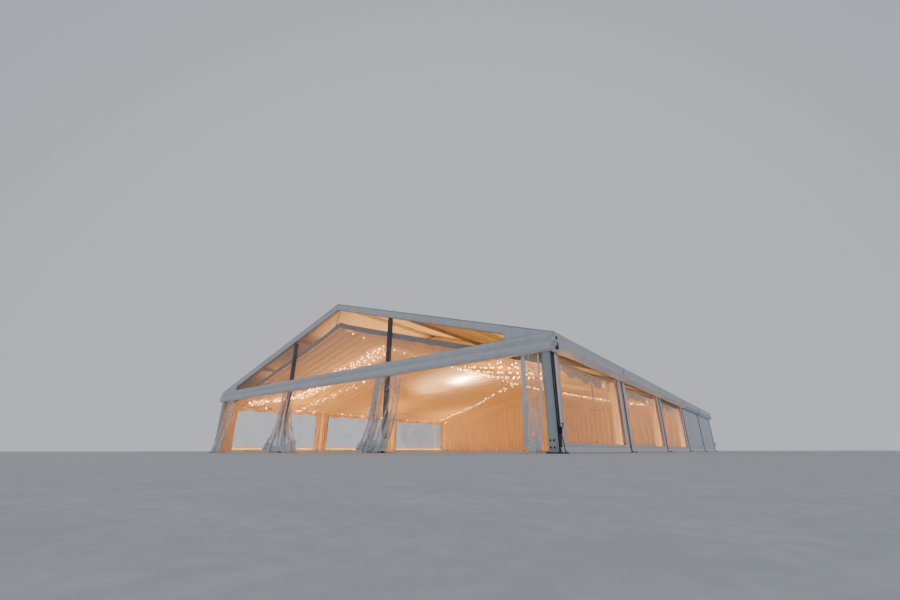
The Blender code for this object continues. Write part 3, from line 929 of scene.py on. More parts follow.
@dataclass
class RoofSkin:
    """A coated sheet over each bay, held in the rafters' tracks, with a fascia that turns under."""

    layout: Layout
    sag: float = 0.022
    seam_half: float = 0.020
    bead: float = 0.0055
    skin: float = 0.0012
    fascia_turn_z: float = 2.145
    fascia_tuck: float = 0.095
    sheet_thickness: float = 0.0025
    purlin_xs: tuple[float, ...] = (0.0, 2.5, 5.0, 7.55)

    def span(self, number: int) -> Pair:
        """Start and end in y of a bay's sheet."""
        start, end = self.layout.bay(number)
        first = self.layout.verge_y if number == 1 else start + self.seam_half
        last = -self.layout.verge_y if number == self.layout.bay_count else end - self.seam_half
        return first, last

    def slopes(self, number: int) -> None:
        """Makes the sheet over both slopes of a bay."""
        start, end = self.span(number)
        half = self.layout.fascia_x - 0.004
        x = row_of(-half, half, 103)
        y = column_of(start, end, 21)
        between = np.interp(np.abs(x), self.purlin_xs, range(len(self.purlin_xs)))
        hang = np.sin(math.pi * between) ** 2 * np.sin(math.pi * (y - start) / (end - start)) ** 0.8
        waves = Ripples(number).at(x, y, 1.6) * 0.004 * hang
        z = self.layout.roof_z(x) - 0.003 - self.sag * hang + waves
        skin = Shape()
        skin.surface(x, y, z)
        made = skin.piece(f"roof_skin_{number}", [WHITE_SHEET], [f"roof_sheet_{number}"],
                          self.skin)
        edges = Shape()
        for edge in (start, end):
            line = [(sx, edge, float(self.layout.roof_z(sx)) - 0.0065) for sx in (-half, 0.0, half)]
            edges.tube(line, self.bead, 8)
        edges.piece(f"roof_keder_{number}", [KEDER_BEAD])

    def fascia(self, number: int, side: Side) -> None:
        """Makes one side's fascia of a bay: upright, then turned under below a crease."""
        start, end = self.span(number)
        y = row_of(start, end, 201)
        eave, turn, foot = self.layout.eave_z, self.fascia_turn_z, self.layout.fascia_bottom
        profile = ((-0.030, eave + 0.006), (-0.010, eave - 0.003), (-0.001, eave - 0.016),
                   (0.003, eave - 0.06), (-0.016, turn + 0.095), (-0.014, turn + 0.085),
                   (0.010, turn + 0.045), (0.016, turn + 0.015), (0.012, turn - 0.020),
                   (-0.004, turn - 0.045), (-self.fascia_tuck * 0.60, 2.055),
                   (-self.fascia_tuck, foot + 0.008), (-self.fascia_tuck - 0.018, foot + 0.002))
        out, z = (np.array(places)[:, None] for places in zip(*profile))
        low = np.clip((eave - z) / (eave - turn), 0, 1)
        folds = Ripples(20 + number).along(y, 0.30) * 0.007 + Ripples(30 + number).along(y, 1.1) * 0.010
        ends = np.exp(-((y - start) / 0.09) ** 2) + np.exp(-((y - end) / 0.09) ** 2)
        seam = np.exp(-((y - (start + end) / 2) / 0.010) ** 2) * (number < self.layout.bay_count)
        x = side.value * (self.layout.fascia_x + out + low * (folds + 0.016 * ends) - 0.004 * seam)
        z = z - 0.006 * low * ends
        flap = Shape()
        flap.surface(x, y, z)
        if number == 1:
            flap.cap(x, y, z, 0)
        if number == self.layout.bay_count:
            flap.cap(x, y, z, -1)
        made = flap.piece(f"fascia_{side.label}_{number}", [WHITE_SHEET],
                          [f"roof_sheet_{number}"], self.sheet_thickness)

    def joints(self, side: Side) -> None:
        """Makes the folded ears that cover the fascia's joints: two flaps with a slit between."""
        ears = Shape()
        across, down = row_of(0, 1, 9), column_of(0, 1, 11)
        for y in self.layout.frame_ys[1:-1]:
            for half in (-1, 1):
                width = (0.03 + 0.17 * down) * (1 - 0.15 * (half + 1))
                lift = 0.008 + 0.060 * down * (1 - across) ** 0.7
                x = side.value * (self.layout.fascia_x + lift)
                z = self.layout.eave_z - 0.02 - 0.27 * down
                ears.surface(x, y + half * (0.004 + 0.014 * down + across * width), z)
                tuck = self.layout.fascia_x + 0.008 + 0.060 * (1 - across) ** 0.7 - 0.090 * down
                low_y = y + half * (0.018 + across * (0.20 - 0.03 * (half + 1)) * (1 - 0.5 * down))
                ears.surface(side.value * tuck, low_y, self.layout.eave_z - 0.29 - 0.10 * down)
        ears.piece(f"fascia_joints_{side.label}", [WHITE_HEM], thickness=0.002)

    def build(self) -> None:
        """Makes all sheets, fascias and joints."""
        for number in range(1, self.layout.bay_count + 1):
            self.slopes(number)
            for side in Side:
                self.fascia(number, side)
        for side in Side:
            self.joints(side)


@dataclass
class Gables:
    """The front gable over the opening, with its clear pane, and the closed back end."""

    layout: Layout
    sill: float = 2.40
    shoulder: float = 2.555
    border: float = 0.22
    corner: float = 0.05
    band_bulge: float = 0.085
    crease_z: float = 2.215
    foot_z: float = 0.0203
    roof_gap: float = 0.013
    panel_drop: float = 0.08
    post_xs: tuple[float, ...] = (-7.5, -2.5, 2.5, 7.5)
    front_nodes: tuple[str, ...] = ("gable_border_front",)

    @property
    def half(self) -> float:
        """Half of the gable's width at the eaves."""
        return self.layout.fascia_x - 0.0123

    @property
    def window_half(self) -> float:
        """Half of the window's width, to its blunt ends."""
        return (self.layout.ridge_z - self.border - self.shoulder) / self.layout.slope

    @staticmethod
    def end_name(front: bool) -> str:
        """The end's name in the pieces' and nodes' names."""
        return "front" if front else "back"

    def band(self, front: bool) -> None:
        """Makes the band across the gable: flat, then rolled forward below a crease."""
        facing = -1 if front else 1
        x = row_of(-self.half, self.half, 241)
        flat = column_of(0, 1, 9)
        angle = math.pi * column_of(0, 1, 11)
        foot = self.layout.fascia_bottom
        z_flat = self.sill + 0.012 + (self.crease_z - self.sill - 0.012) * flat
        z_roll = (self.crease_z + foot) / 2 + (self.crease_z - foot) / 2 * np.cos(angle)
        z = np.concatenate([z_flat, z_roll[1:], z_roll[-1:] + 0.004])
        forward = np.concatenate([0.045 * np.sin(math.pi * flat ** 0.7),
                                  self.band_bulge * np.sin(angle[1:]) ** 0.7, [[-0.035]]])
        sagging = Ripples(51).along(x, 3.5) * 0.006 + Ripples(52).along(x, 0.5) * 0.002
        loose = np.clip((self.sill - z) / 0.3, 0, 1)
        tip = np.clip((self.half - np.abs(x)) / 0.05, 0, 1) ** 0.5
        y = facing * (abs(self.layout.gable_y) + forward * (0.25 + 0.75 * tip) + loose * sagging)
        roll = Shape()
        roll.surface(x, y, z)
        roll.cap(x, y, z, 0)
        roll.cap(x, y, z, -1)
        name = self.end_name(front)
        nodes = self.front_nodes if front else ("end_wall_back",)
        made = roll.piece(f"gable_band_{name}", [WHITE_SHEET], nodes, 0.0025)

    def ears(self, front: bool) -> None:
        """Makes the band's folded corners and their bolts."""
        facing = -1 if front else 1
        face = abs(self.layout.gable_y)
        fittings = Shape()
        for side in Side:
            ear = [(self.half - 0.10, self.layout.fascia_bottom + 0.20), (self.half + 0.020, 2.33),
                   (self.half + 0.030, 2.25), (self.half - 0.015, 2.20)]
            outline = [(side.value * px, pz) for px, pz in ear]
            fittings.prism("Y", outline, facing * (face + 0.004), facing * (face + 0.030))
            if front:
                self.corner_tab(fittings, side)
            for inset, pz in ((0.42, 2.36), (0.30, 2.05)):
                foot = (side.value * (self.half - inset), facing * (face + 0.002), pz)
                fittings.bolt(foot, (0, facing, 0), 0.010, 1)
        finishes = [WHITE_HEM, BLACK_STEEL, DARK_WEBBING]
        fittings.piece(f"gable_ears_{self.end_name(front)}", finishes, bevel=0.004)

    def corner_tab(self, fittings: Shape, side: Side) -> None:
        """Adds a black block behind a front corner as a painted shadow, and the white tab across it.

        Args:
            fittings: the shape that takes both.
            side: the corner's side.
        """
        edge = 0.11 - abs(self.layout.gable_y)
        # Painted shadow: a black block fills the gap behind the corner.
        slot = [(edge - step, z) for step, z in ((0.0, 2.03), (0.05, 2.03), (0.07, 2.30), (0.03, 2.30))]
        fittings.prism("X", slot, side.value * (self.half - 0.01), side.value * (self.half + 0.036), 2)
        tab = [(edge - step, z) for step, z in ((0.16, 2.235), (0.02, 2.20), (0.02, 2.17), (0.16, 2.195))]
        fittings.prism("X", tab, side.value * (self.half + 0.010), side.value * (self.half + 0.044))

    def verge(self, side: Side) -> None:
        """Makes the border strip that follows one slope of the front gable."""
        end = self.window_half
        arc = [end - self.corner + self.corner * math.sin(a) for a in spread(0, math.pi / 2, 6)]
        places = np.array([*spread(0, end - self.corner, 90)[:-1], *arc, end + 0.001,
                           *spread(end + 0.02, self.half, 20)])
        past = np.clip(places - (end - self.corner), 0, self.corner)
        under = self.layout.roof_z(places) - self.border
        under = np.where(places > end, self.sill, under - self.corner + np.sqrt(self.corner ** 2 - past ** 2))
        top = self.layout.roof_z(places) - self.roof_gap
        share = column_of(0, 1, 7)
        z = under + (top - under) * share
        x = side.value * places[None, :] + 0 * share
        puff = np.sin(math.pi * share) * (0.006 + 0.003 * Ripples(61).at(x, z, 0.7))
        strip = Shape()
        strip.surface(x, self.layout.gable_y - 0.001 - puff, z)
        welt_z = under + 0.012 * column_of(0, 1, 3)
        strip.surface(x[:3], self.layout.gable_y - 0.006 + 0 * welt_z, welt_z, 1)
        made = strip.piece(f"gable_verge_{side.label}", [WHITE_SHEET, KEDER_BEAD],
                           self.front_nodes, 0.002)

    def pane(self) -> None:
        """Makes the front gable's clear pane, slack and creased between its borders."""
        half = self.window_half + 0.03
        x = row_of(-half, half, 201)
        share = column_of(0, 1, 29)
        low = self.sill - 0.03
        top = self.layout.roof_z(x) - self.border + 0.03
        z = low + (top - low) * share
        free = np.sin(math.pi * share) * np.clip((half - np.abs(x)) / 0.5, 0, 1)
        waves = Ripples(71).at(x, z, 1.9) * 0.016 + Ripples(72).at(x + z, z, 0.6) * 0.004
        pane = Shape()
        pane.surface(x, self.layout.gable_y + 0.006 + free * (waves - 0.012), z)
        made = pane.piece("gable_pane_front", [GABLE_PANE], ["gable_window_front"], 0.001)

    def back(self) -> None:
        """Makes the back end: three lower panels and the sheet above them."""
        y = -self.layout.gable_y
        for number, (low_x, high_x) in enumerate(zip(self.post_xs, self.post_xs[1:]), start=1):
            x = row_of(low_x + 0.01, high_x - 0.01, 61)
            z = column_of(self.foot_z, self.sill - self.panel_drop, 25)
            free = np.clip((z - 0.02) / 0.4, 0, 1) * np.clip((self.sill - z) / 0.4, 0, 1)
            waves = Ripples(80 + number).at(x, z * 0.4, 0.9) * 0.010 * free
            panel = Shape()
            panel.surface(x, y - 0.006 + waves, z)
            panel.surface(x, y + 0.001, column_of(self.foot_z, 0.10, 3), 1)
            made = panel.piece(f"end_panel_back_{number}", [WHITE_SHEET, WHITE_HEM],
                               ["end_wall_back"], 0.0015)
        x = row_of(-self.half, self.half, 181)
        share = column_of(0, 1, 21)
        top = self.layout.roof_z(x) - self.roof_gap
        z = self.sill + (top - self.sill) * share
        waves = Ripples(85).at(x, z, 1.5) * 0.008 * np.sin(math.pi * share)
        gable = Shape()
        gable.surface(x, y - 0.004 + waves, z)
        made = gable.piece("end_gable_back", [WHITE_SHEET], ["end_wall_back"], 0.0015)

    def build(self) -> None:
        """Makes both ends."""
        for front in (True, False):
            self.band(front)
            self.ears(front)
        for side in Side:
            self.verge(side)
        self.pane()
        self.back()


@dataclass
class SideWalls:
    """Wall sheets between the legs; the front bays' sheets frame a clear window."""

    layout: Layout
    window_bays: int = 3
    outer_x: float = 7.482
    foot_z: float = 0.0203
    border: float = 0.28
    sill: float = 0.20
    head: float = 2.05
    top: float = 2.42
    wave: float = 0.010
    leg_clear: float = 0.0553
    skirt: float = 0.10
    lap: float = 0.03
    flap_width: float = 0.12
    flap_top: float = 2.01

    def slack(self, number: int, side: Side, y: np.ndarray, z: np.ndarray) -> np.ndarray:
        """How far a wall's sheet stands off its flat place: soft folds, none at its edges."""
        start, end = self.layout.bay(number)
        edge = np.clip(np.minimum(y - start, end - y) / 0.5, 0, 1)
        upright = np.clip((self.top - z) / 0.6, 0, 1)
        waves = Ripples(100 + number * side.value).at(y, z * 0.35, 1.1)
        return edge * upright * (self.wave * waves - 0.004)

    def strip(self, wall: Shape, number: int, side: Side, y: np.ndarray, z: np.ndarray, off: Values,
              mark: int) -> None:
        """Adds a strip that lies on a wall's sheet and follows its folds.

        Args:
            wall: the wall's shape.
            number: the bay's number.
            side: the wall's side.
            y: the strip's places along the wall.
            z: the strip's heights.
            off: how far it lies off the sheet.
            mark: finish number.
        """
        wall.surface(side.value * (self.outer_x + off + self.slack(number, side, y, z)), y, z, mark)

    def panel(self, number: int, side: Side) -> None:
        """Makes one wall sheet, with its window if it has one."""
        start, end = self.layout.bay(number)
        low_y, high_y = start + self.leg_clear, end - self.leg_clear
        left, right = low_y + self.border, high_y - self.border
        window = number <= self.window_bays
        ys = [*spread(low_y, left, 7), *spread(left, right, 61)[1:], *spread(right, high_y, 7)[1:]]
        zs = [*spread(self.foot_z, self.sill, 7), *spread(self.sill, self.head, 31)[1:],
              *spread(self.head, self.top, 7)[1:]]
        y, z = np.array(ys)[None, :], np.array(zs)[:, None]
        x = side.value * (self.outer_x - 0.004 + self.slack(number, side, y, z))
        upright = (y[:, :-1] < left - 0.001) | (y[:, 1:] > right + 0.001)
        inside = ~upright & (z[:-1] > self.sill - 0.001) & (z[1:] < self.head + 0.001)
        # Painted glow: the window bays' borders above the foot take the glowing copy of the sheet.
        lit = upright & (z[:-1] > self.foot_z + 0.06) & window
        wall = Shape()
        wall.surface(x, y, z, 3 * lit.astype(int), ~inside if window else None)
        skirt_z = column_of(0.004, self.foot_z + self.skirt, 5)
        lean = (self.foot_z + self.skirt - skirt_z) * 0.22
        self.strip(wall, number, side, row_of(low_y, high_y, 61), skirt_z, 0.001 + lean, 1)
        if window:
            weld_z = column_of(self.sill - self.lap, self.head + self.lap, 31)
            for edge, inward in ((left, 1), (right, -1)):
                self.strip(wall, number, side, edge + row_of(-0.012, 0.045, 4) * inward, weld_z, 0.001, 1)
        # Painted shade: on the first bay a near-black strip runs down the sheet beside the corner leg,
        # standing in for the shadow there.
        if number == 1:
            shade_strip_y = low_y + row_of(0, self.flap_width, 4)
            self.strip(wall, number, side, shade_strip_y, column_of(0.02, self.flap_top, 31), 0.002, 2)
        finishes = [WHITE_SHEET, WHITE_HEM, PAINTED_SHADE_METAL, PAINTED_GLOW_SHEET]
        made = wall.piece(f"wall_panel_{side.label}_{number}", finishes,
                          [f"wall_{side.label}_{number}"], 0.0015)
        if window:
            self.pane(number, side, (left, right))

    def pane(self, number: int, side: Side, span: Pair) -> None:
        """Makes one clear window; the welded edges that hold it are part of the wall sheet."""
        y = row_of(span[0] - self.lap, span[1] + self.lap, 61)
        z = column_of(self.sill - self.lap, self.head + self.lap, 25)
        free = np.clip((y - span[0] - 0.02) / 0.3, 0, 1) * np.clip((span[1] - y - 0.02) / 0.3, 0, 1)
        free = free * np.clip((z - self.sill - 0.02) / 0.3, 0, 1)
        creases = Ripples(140 + number * side.value).at(y, z * 0.5, 0.8) * 0.005 * free
        x = side.value * (self.outer_x - 0.008 + self.slack(number, side, y, z) + creases)
        pane = Shape()
        pane.surface(x, y, z)
        made = pane.piece(f"wall_pane_{side.label}_{number}", [CLEAR_PANE],
                          [f"window_{side.label}_{number}"], 0.001)

    def build(self) -> None:
        """Makes both sides' walls."""
        for side in Side:
            for number in range(1, self.layout.bay_count + 1):
                self.panel(number, side)


@dataclass
class PortalFrames:
    """Legs as grooved extrusions on bolted plates, and the fittings that join legs, rafters and beams."""

    layout: Layout
    leg_depth: float = 0.20
    groove: float = 0.008
    groove_depth: float = 0.010
    plate_inner: float = 7.27
    plate_outer: float = 7.62
    plate_half: float = 0.16
    plate_thickness: float = 0.02
    gusset_xs: Pair = (7.315, 7.465)
    gusset_top: float = 0.29
    gusset_thickness: float = 0.008
    strip_xs: Pair = (7.432, 7.446)
    strip_top: float = 0.86
    cover_top: float = 2.0
    tie_line: tuple[Pair, ...] = ((7.502, 2.02), (7.502, 1.0), (7.502, 0.62), (7.530, 0.50), (7.560, 0.34),
                                  (7.590, 0.16), (7.606, 0.021))
    buckle: Pair = (7.548, 0.42)
    post_x: float = 2.5

    def under(self, x: float) -> float:
        """Height of the rafters' lower face at one place."""
        return float(self.layout.rafter_under(x))

    def leg_outline(self, side: Side, y: float) -> list[Pair]:
        """The leg's cross-section: a box with a sheet groove near each corner and a middle groove."""
        half = self.layout.frame_half
        outer = self.layout.half_span
        inner = outer - self.leg_depth
        face = [(inner, -half)]
        for centre in (inner + 0.022, outer - 0.022):
            for step, depth in ((-0.5, 0), (-0.5, 1), (0.5, 1), (0.5, 0)):
                face.append((centre + step * self.groove, -half + depth * self.groove_depth))
        face.append((outer, -half))
        for step, depth in ((-0.5, 0), (-0.5, 1), (0.5, 1), (0.5, 0)):
            face.append((outer - depth * self.groove_depth, step * self.groove))
        back = [(px, -py) for px, py in reversed(face[:-4])]
        return [(side.value * px, y + py) for px, py in face + back]

    def leg(self, number: int, side: Side) -> None:
        """Makes one leg with its plate, bolts, gussets and side strips, and a near-black plate on its outer
        face as painted shade.
        """
        y = self.layout.frame_ys[number - 1]
        s = side.value
        outline = self.leg_outline(side, y)
        plate = self.plate_thickness
        leg = Shape()
        leg.loft([(px, py, plate) for px, py in outline],
                 [(px, py, self.under(px) - 0.0003) for px, py in outline])
        leg.box((s * self.plate_inner, y - self.plate_half, 0.0),
                (s * self.plate_outer, y + self.plate_half, plate), 1)
        for facing in (-1, 1):
            face = y + facing * self.layout.frame_half
            front = face + facing * self.gusset_thickness
            leg.box((s * self.gusset_xs[0], face, plate), (s * self.gusset_xs[1], front, self.gusset_top))
            for px in (7.34, 7.42):
                for pz in (0.11, 0.24):
                    leg.bolt((s * px, front, pz), (0, facing, 0), 0.014, 1)
            inner, outer = self.strip_xs
            skin = face + facing * 0.0025
            leg.box((s * inner, face, self.gusset_top), (s * outer, skin, self.strip_top))
            leg.box((s * (inner - 0.022), face, self.strip_top),
                    (s * (outer + 0.022), skin, self.strip_top + 0.012))
            for px in (7.30, 7.58):
                leg.bolt((s * px, y + facing * 0.125, plate), (0, 0, 1), 0.016, 2)
        # Painted shade: a thin near-black plate over the leg's outer face, standing in for the shadow on that
        # face.
        reach = self.layout.frame_half - 0.004
        leg.box((s * (self.layout.half_span - 0.001), y - reach, plate),
                (s * (self.layout.half_span + 0.0015), y + reach, self.cover_top), 3)
        finishes = [LEG_METAL, BLACK_STEEL, ZINC_BOLT, PAINTED_SHADE_METAL]
        made = leg.piece(f"leg_profile_{side.label}_{number}", finishes,
                         [f"leg_{side.label}_{number}"], bevel=0.0015)
        made.modifiers[0].angle_limit = math.radians(60)

    def tie(self, number: int, side: Side) -> None:
        """Makes the webbing from a corner leg to its plate."""
        x, z = (np.array(places)[:, None] for places in zip(*self.tie_line))
        band = Shape()
        band.surface(x * side.value, self.layout.frame_ys[number - 1] + row_of(-0.024, 0.024, 3), z)
        band.piece(f"tie_band_{side.label}_{number}", [DARK_WEBBING], thickness=0.003)

    def ratchet(self, number: int, side: Side) -> None:
        """Makes the ratchet that pulls a corner leg's webbing tight."""
        y = self.layout.frame_ys[number - 1]
        s = side.value
        middle, height = self.buckle
        shape = Shape()
        for offset in (-0.030, 0.030):
            shape.box((s * (middle - 0.018), y + offset - 0.003, height - 0.06),
                      (s * (middle + 0.020), y + offset + 0.003, height + 0.07))
        shape.tube([(s * middle, y - 0.033, height), (s * middle, y + 0.033, height)], 0.011, 12)
        bend = ((0.012, 0.02), (0.055, 0.10), (0.050, 0.13))
        handle = [(s * (middle + out), height + up) for out, up in bend]
        for offset in (-0.026, 0.026):
            shape.tube([(px, y + offset, pz) for px, pz in handle], 0.006, 8)
        grip_x, grip_z = handle[-1]
        shape.tube([(grip_x, y - 0.034, grip_z), (grip_x, y + 0.034, grip_z)], 0.012, 12)
        shape.piece(f"tie_ratchet_{side.label}_{number}", [BLACK_STEEL])

    def knees(self, number: int) -> None:
        """Makes the plates and bolts at a frame's ridge and eaves."""
        y = self.layout.frame_ys[number - 1]
        half = self.layout.frame_half
        crown = [(px, self.under(px) + up) for px, up in
                 ((-0.42, 0.02), (0.0, 0.02), (0.42, 0.02), (0.42, 0.17), (0.0, 0.17), (-0.42, 0.17))]
        knee = [(7.47, 2.10), (7.33, 2.10), (6.85, self.under(6.85) + 0.02), (6.85, self.under(6.85) + 0.17),
                (7.47, self.under(7.47) + 0.17)]
        plates = Shape()
        for facing in (-1, 1):
            face = y + facing * (half + 0.008)
            near, far = sorted((y + facing * (half + 0.0005), face))
            plates.prism("Y", crown, near, far)
            for px in (-0.34, -0.12, 0.12, 0.34):
                plates.bolt((px, face, self.under(px) + 0.095), (0, facing, 0), 0.012, 1)
            for side in Side:
                plates.prism("Y", [(side.value * px, pz) for px, pz in knee], near, far)
                for px, up in ((6.95, 0.09), (7.15, 0.09), (7.38, 0.09), (7.40, -0.12)):
                    plates.bolt((side.value * px, face, self.under(px) + up), (0, facing, 0), 0.012, 1)
        plates.piece(f"frame_knees_{number}", [MILL_METAL, ZINC_BOLT])

    def dress_nodes(self) -> None:
        """Gives the frame's own bars their finishes."""
        # gable_frame takes painted shade: near-black instead of aluminium, as the posts stand dark against
        # the lit hall.
        finishes = {"rafters": MILL_METAL, "ridge_purlin": MILL_METAL, "purlin": MILL_METAL,
                    "eave_beam": MILL_METAL, "gable_frame": PAINTED_SHADE_METAL}
        for name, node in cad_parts.items():
            for start, finish in finishes.items():
                if name.startswith(start):
                    node.data.materials.clear()
                    node.data.materials.append(finish.material())

    def gable_fittings(self, front: bool) -> None:
        """Makes the brackets, bolts and plates where the gable's posts meet its beam, rafters and floor."""
        name = Gables.end_name(front)
        low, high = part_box(f"gable_frame_{name}")
        top = self.under(self.post_x)
        parts = Shape()
        for side in Side:
            s = side.value
            middle = s * self.post_x
            for face, facing in ((low.y, -1), (high.y, 1)):
                cover = face + facing * 0.006
                parts.box((middle - 0.045, face, 1.93), (middle + 0.045, cover, 2.42))
                parts.box((middle - 0.045, face, top - 0.22), (middle + 0.045, cover, top - 0.03))
                for pz in (1.98, 2.03, 2.32, 2.37, top - 0.18, top - 0.07):
                    parts.bolt((middle, cover, pz), (0, facing, 0), 0.010, 1)
                parts.box((s * 7.2997, face, 2.09), (s * 7.18, cover, 2.26))
                for pz in (2.13, 2.22):
                    parts.bolt((s * 7.24, cover, pz), (0, facing, 0), 0.010, 1)
            for px in (2.38, 2.62):
                for py in (low.y + 0.02, high.y - 0.02):
                    parts.bolt((s * px, py, 0.02), (0, 0, 1), 0.014, 1)
        # The brackets take the posts' painted shade.
        parts.piece(f"gable_fittings_{name}", [PAINTED_SHADE_METAL, ZINC_BOLT])

    def build(self) -> None:
        """Makes all frames' parts."""
        self.dress_nodes()
        count = len(self.layout.frame_ys)
        for number in range(1, count + 1):
            self.knees(number)
            for side in Side:
                self.leg(number, side)
        for number in (1, count):
            for side in Side:
                self.tie(number, side)
                self.ratchet(number, side)
        for front in (True, False):
            self.gable_fittings(front)


@dataclass
class HallLining:
    """The ivory lining of the front three bays: pleated ceiling, pelmets, leg drapes and hanging end."""

    layout: Layout
    bays: int = 3
    pleat: float = 0.142
    pleat_depth: float = 0.080
    scallops: int = 5
    pelmet_top: float = 1.937
    pelmet_cusp: float = 1.86
    pelmet_low: float = 1.66
    wall_x: float = 7.292
    drape_half: float = 0.17
    drape_wide: float = 0.48
    drape_back: float = 7.43
    drape_face: float = 7.16
    drape_top: float = 1.93
    corner_drape: Pair = (-12.37, -11.95)
    end_half: float = 7.23
    end_pleat: float = 0.26
    swag: float = 1.3
    swag_half: float = 7.2

    def fold(self, phase: np.ndarray) -> np.ndarray:
        """Depth from 0 to 1 of hanging pleats: narrow at the top, full below."""
        return np.abs(np.sin(math.pi * phase)) ** 0.55

    def ceiling(self, number: int) -> None:
        """Makes the pleated ceiling of one bay."""
        start, end = self.layout.bay(number)
        start = self.layout.lining_start if number == 1 else start
        end = self.layout.lining_end if number == self.bays else end
        rows = int((end - start) / self.pleat * 9)
        edge = self.layout.leg_inner_x - 0.004
        x = row_of(-edge, edge, 49)
        y = column_of(start, end, rows)
        wander = Ripples(200 + number).at(x, y, 3.0) * 0.10
        depth = self.pleat_depth * (0.75 + 0.35 * np.abs(x) / edge + 0.25 * Ripples(210).at(x, y, 2.2))
        fine = self.fold(y / self.pleat + wander) * (0.30 + 0.15 * Ripples(215).at(x, y, 1.5))
        wide = self.fold(y / (2.0 * self.pleat) + 0.5 * wander) * 0.85
        z = self.layout.lining_z(x, y) - 0.004 - depth * (fine + wide)
        cloth = Shape()
        cloth.surface(x, y, z)
        made = cloth.piece(f"ceiling_lining_{number}", [IVORY_CLOTH], ["roof_lining"], sharp=80)

    def front_border(self) -> None:
        """Makes the plain border that is turned up along the ceiling's front edge, in a greyer cloth that is
        painted shade.
        """
        edge = self.layout.leg_inner_x - 0.02
        start = self.layout.lining_start
        x = row_of(-edge, edge, 161)
        up = column_of(0, 1, 9)
        peak = 0.05 * np.exp(-((x + 0.25) / 0.35) ** 2)
        drop = 0.16 + 0.02 * Ripples(220).along(x, 1.4) + 0.01 * Ripples(221).along(x, 0.4)
        z = self.layout.lining_z(x, start) + 0.02 + peak - drop * (1 - up)
        y = start - 0.002 + 0.006 * np.sin(math.pi * up) + 0.006 * (1 - up) * Ripples(222).along(x, 0.5)
        y = np.minimum(y, start + 0.004)
        strip = Shape()
        strip.surface(x, y, z)
        made = strip.piece("ceiling_border_front", [SHADED_CLOTH], ["roof_lining"], 0.002)
        self.apex_tie(start)

    def apex_tie(self, y: float) -> None:
        """Makes the strap and ring that hold the front edge's peak up to the rafters."""
        peak_x = -0.25
        top = float(self.layout.lining_z(peak_x, y)) + 0.09
        crown = float(self.layout.rafter_under(0.06)) - 0.02
        line = [(-0.06, y - 0.03, crown), (-0.16, y - 0.02, (crown + top) / 2), (peak_x, y, top)]
        strap = Shape()
        strap.tube(line, 0.011, 6)
        ring = [(peak_x + 0.028 * math.cos(turn), y, top - 0.01 + 0.032 * math.sin(turn))
                for turn in spread(0, TAU, 17)]
        strap.tube(ring, 0.008, 8)
        strap.piece("lining_apex_tie", [DARK_WEBBING])

    def pelmet(self, number: int, side: Side) -> None:
        """Makes the five scallops of one bay's pelmet, each a swag with folds that follow its lower edge."""
        start, end = self.layout.bay(number)
        start += self.drape_half * 0.7
        end -= self.drape_half * 0.7
        step = (end - start) / self.scallops
        across, down = row_of(0, 1, 33), column_of(0, 1, 25)
        dip = 1 - (2 * across - 1) ** 2
        cloth = Shape()
        draw = random.Random(300 + number * side.value)
        for index in range(self.scallops):
            low = self.pelmet_low + draw.uniform(-0.03, 0.03)
            bottom = self.pelmet_cusp + (low - self.pelmet_cusp) * dip ** 0.8
            z = self.pelmet_top + (bottom - self.pelmet_top) * down
            bulge = dip * (0.022 * self.fold(down * 4.0) * (0.3 + down) + 0.030 * down)
            gather = 0.006 * np.sin(across * TAU * 6) * (1 - down)
            x = side.value * (self.wall_x - 0.004 - bulge - gather)
            cloth.surface(x, start + step * (index + across), z)
            if index < self.scallops - 1:
                self.tail(cloth, side, start + step * (index + 1), 0.20)
        if number == 1:
            self.tail(cloth, side, start + step * 3, 0.98)
        made = cloth.piece(f"pelmet_{side.label}_{number}", [IVORY_CLOTH],
                           [f"wall_lining_{side.label}"], sharp=70)

    def tail(self, cloth: Shape, side: Side, y: float, length: float) -> None:
        """Adds a narrow pleated tail that hangs from a cusp and ends in a point."""
        across = row_of(-1, 1, 13)
        down = column_of(0, 1, 15)
        width = 0.030 + 0.030 * np.sin(math.pi * down * 0.8)
        width = width * np.clip((1 - down) / 0.12, 0.12, 1)
        x = side.value * (self.wall_x - 0.020 - 0.014 * np.cos(across * TAU * 1.5) - 0.012 * (1 - down))
        cloth.surface(x, y + across * width, self.pelmet_top - 0.01 - length * down)

    def drape(self, number: int, side: Side) -> None:
        """Makes the full-height gathered drape around one leg."""
        y = self.layout.frame_ys[number - 1]
        narrow = self.drape_half * 0.75
        low, high, back = y - narrow, y + narrow, self.drape_back
        if side is Side.RIGHT:
            low, high = y - self.drape_wide, y + self.drape_half
        if number == 1:
            (low, high), back = self.corner_drape, self.wall_x
        turn, up = row_of(0, 1, 161), column_of(0, 1, 33)
        centre, half = (low + high) / 2, (high - low) / 2
        angle = math.pi * turn
        draw = Ripples(400 + number * side.value)
        waist = 1 - 0.12 * np.sin(math.pi * up) ** 2
        flute = np.sin(TAU * 12 * turn + 1.6 * draw.at(up * 2, turn * 3, 3.0)) * (0.011 + 0.006 * (1 - up))
        reach = (back - self.drape_face) * waist + flute
        x = side.value * (back - np.sin(angle) ** 0.45 * reach)
        z = self.layout.floor_z + 0.002 + (self.drape_top - self.layout.floor_z) * up
        cloth = Shape()
        cloth.surface(x, centre - np.cos(angle) * (half * waist + flute * 0.6), z)
        made = cloth.piece(f"leg_drape_{side.label}_{number}", [IVORY_CLOTH],
                           [f"wall_lining_{side.label}"], sharp=80)

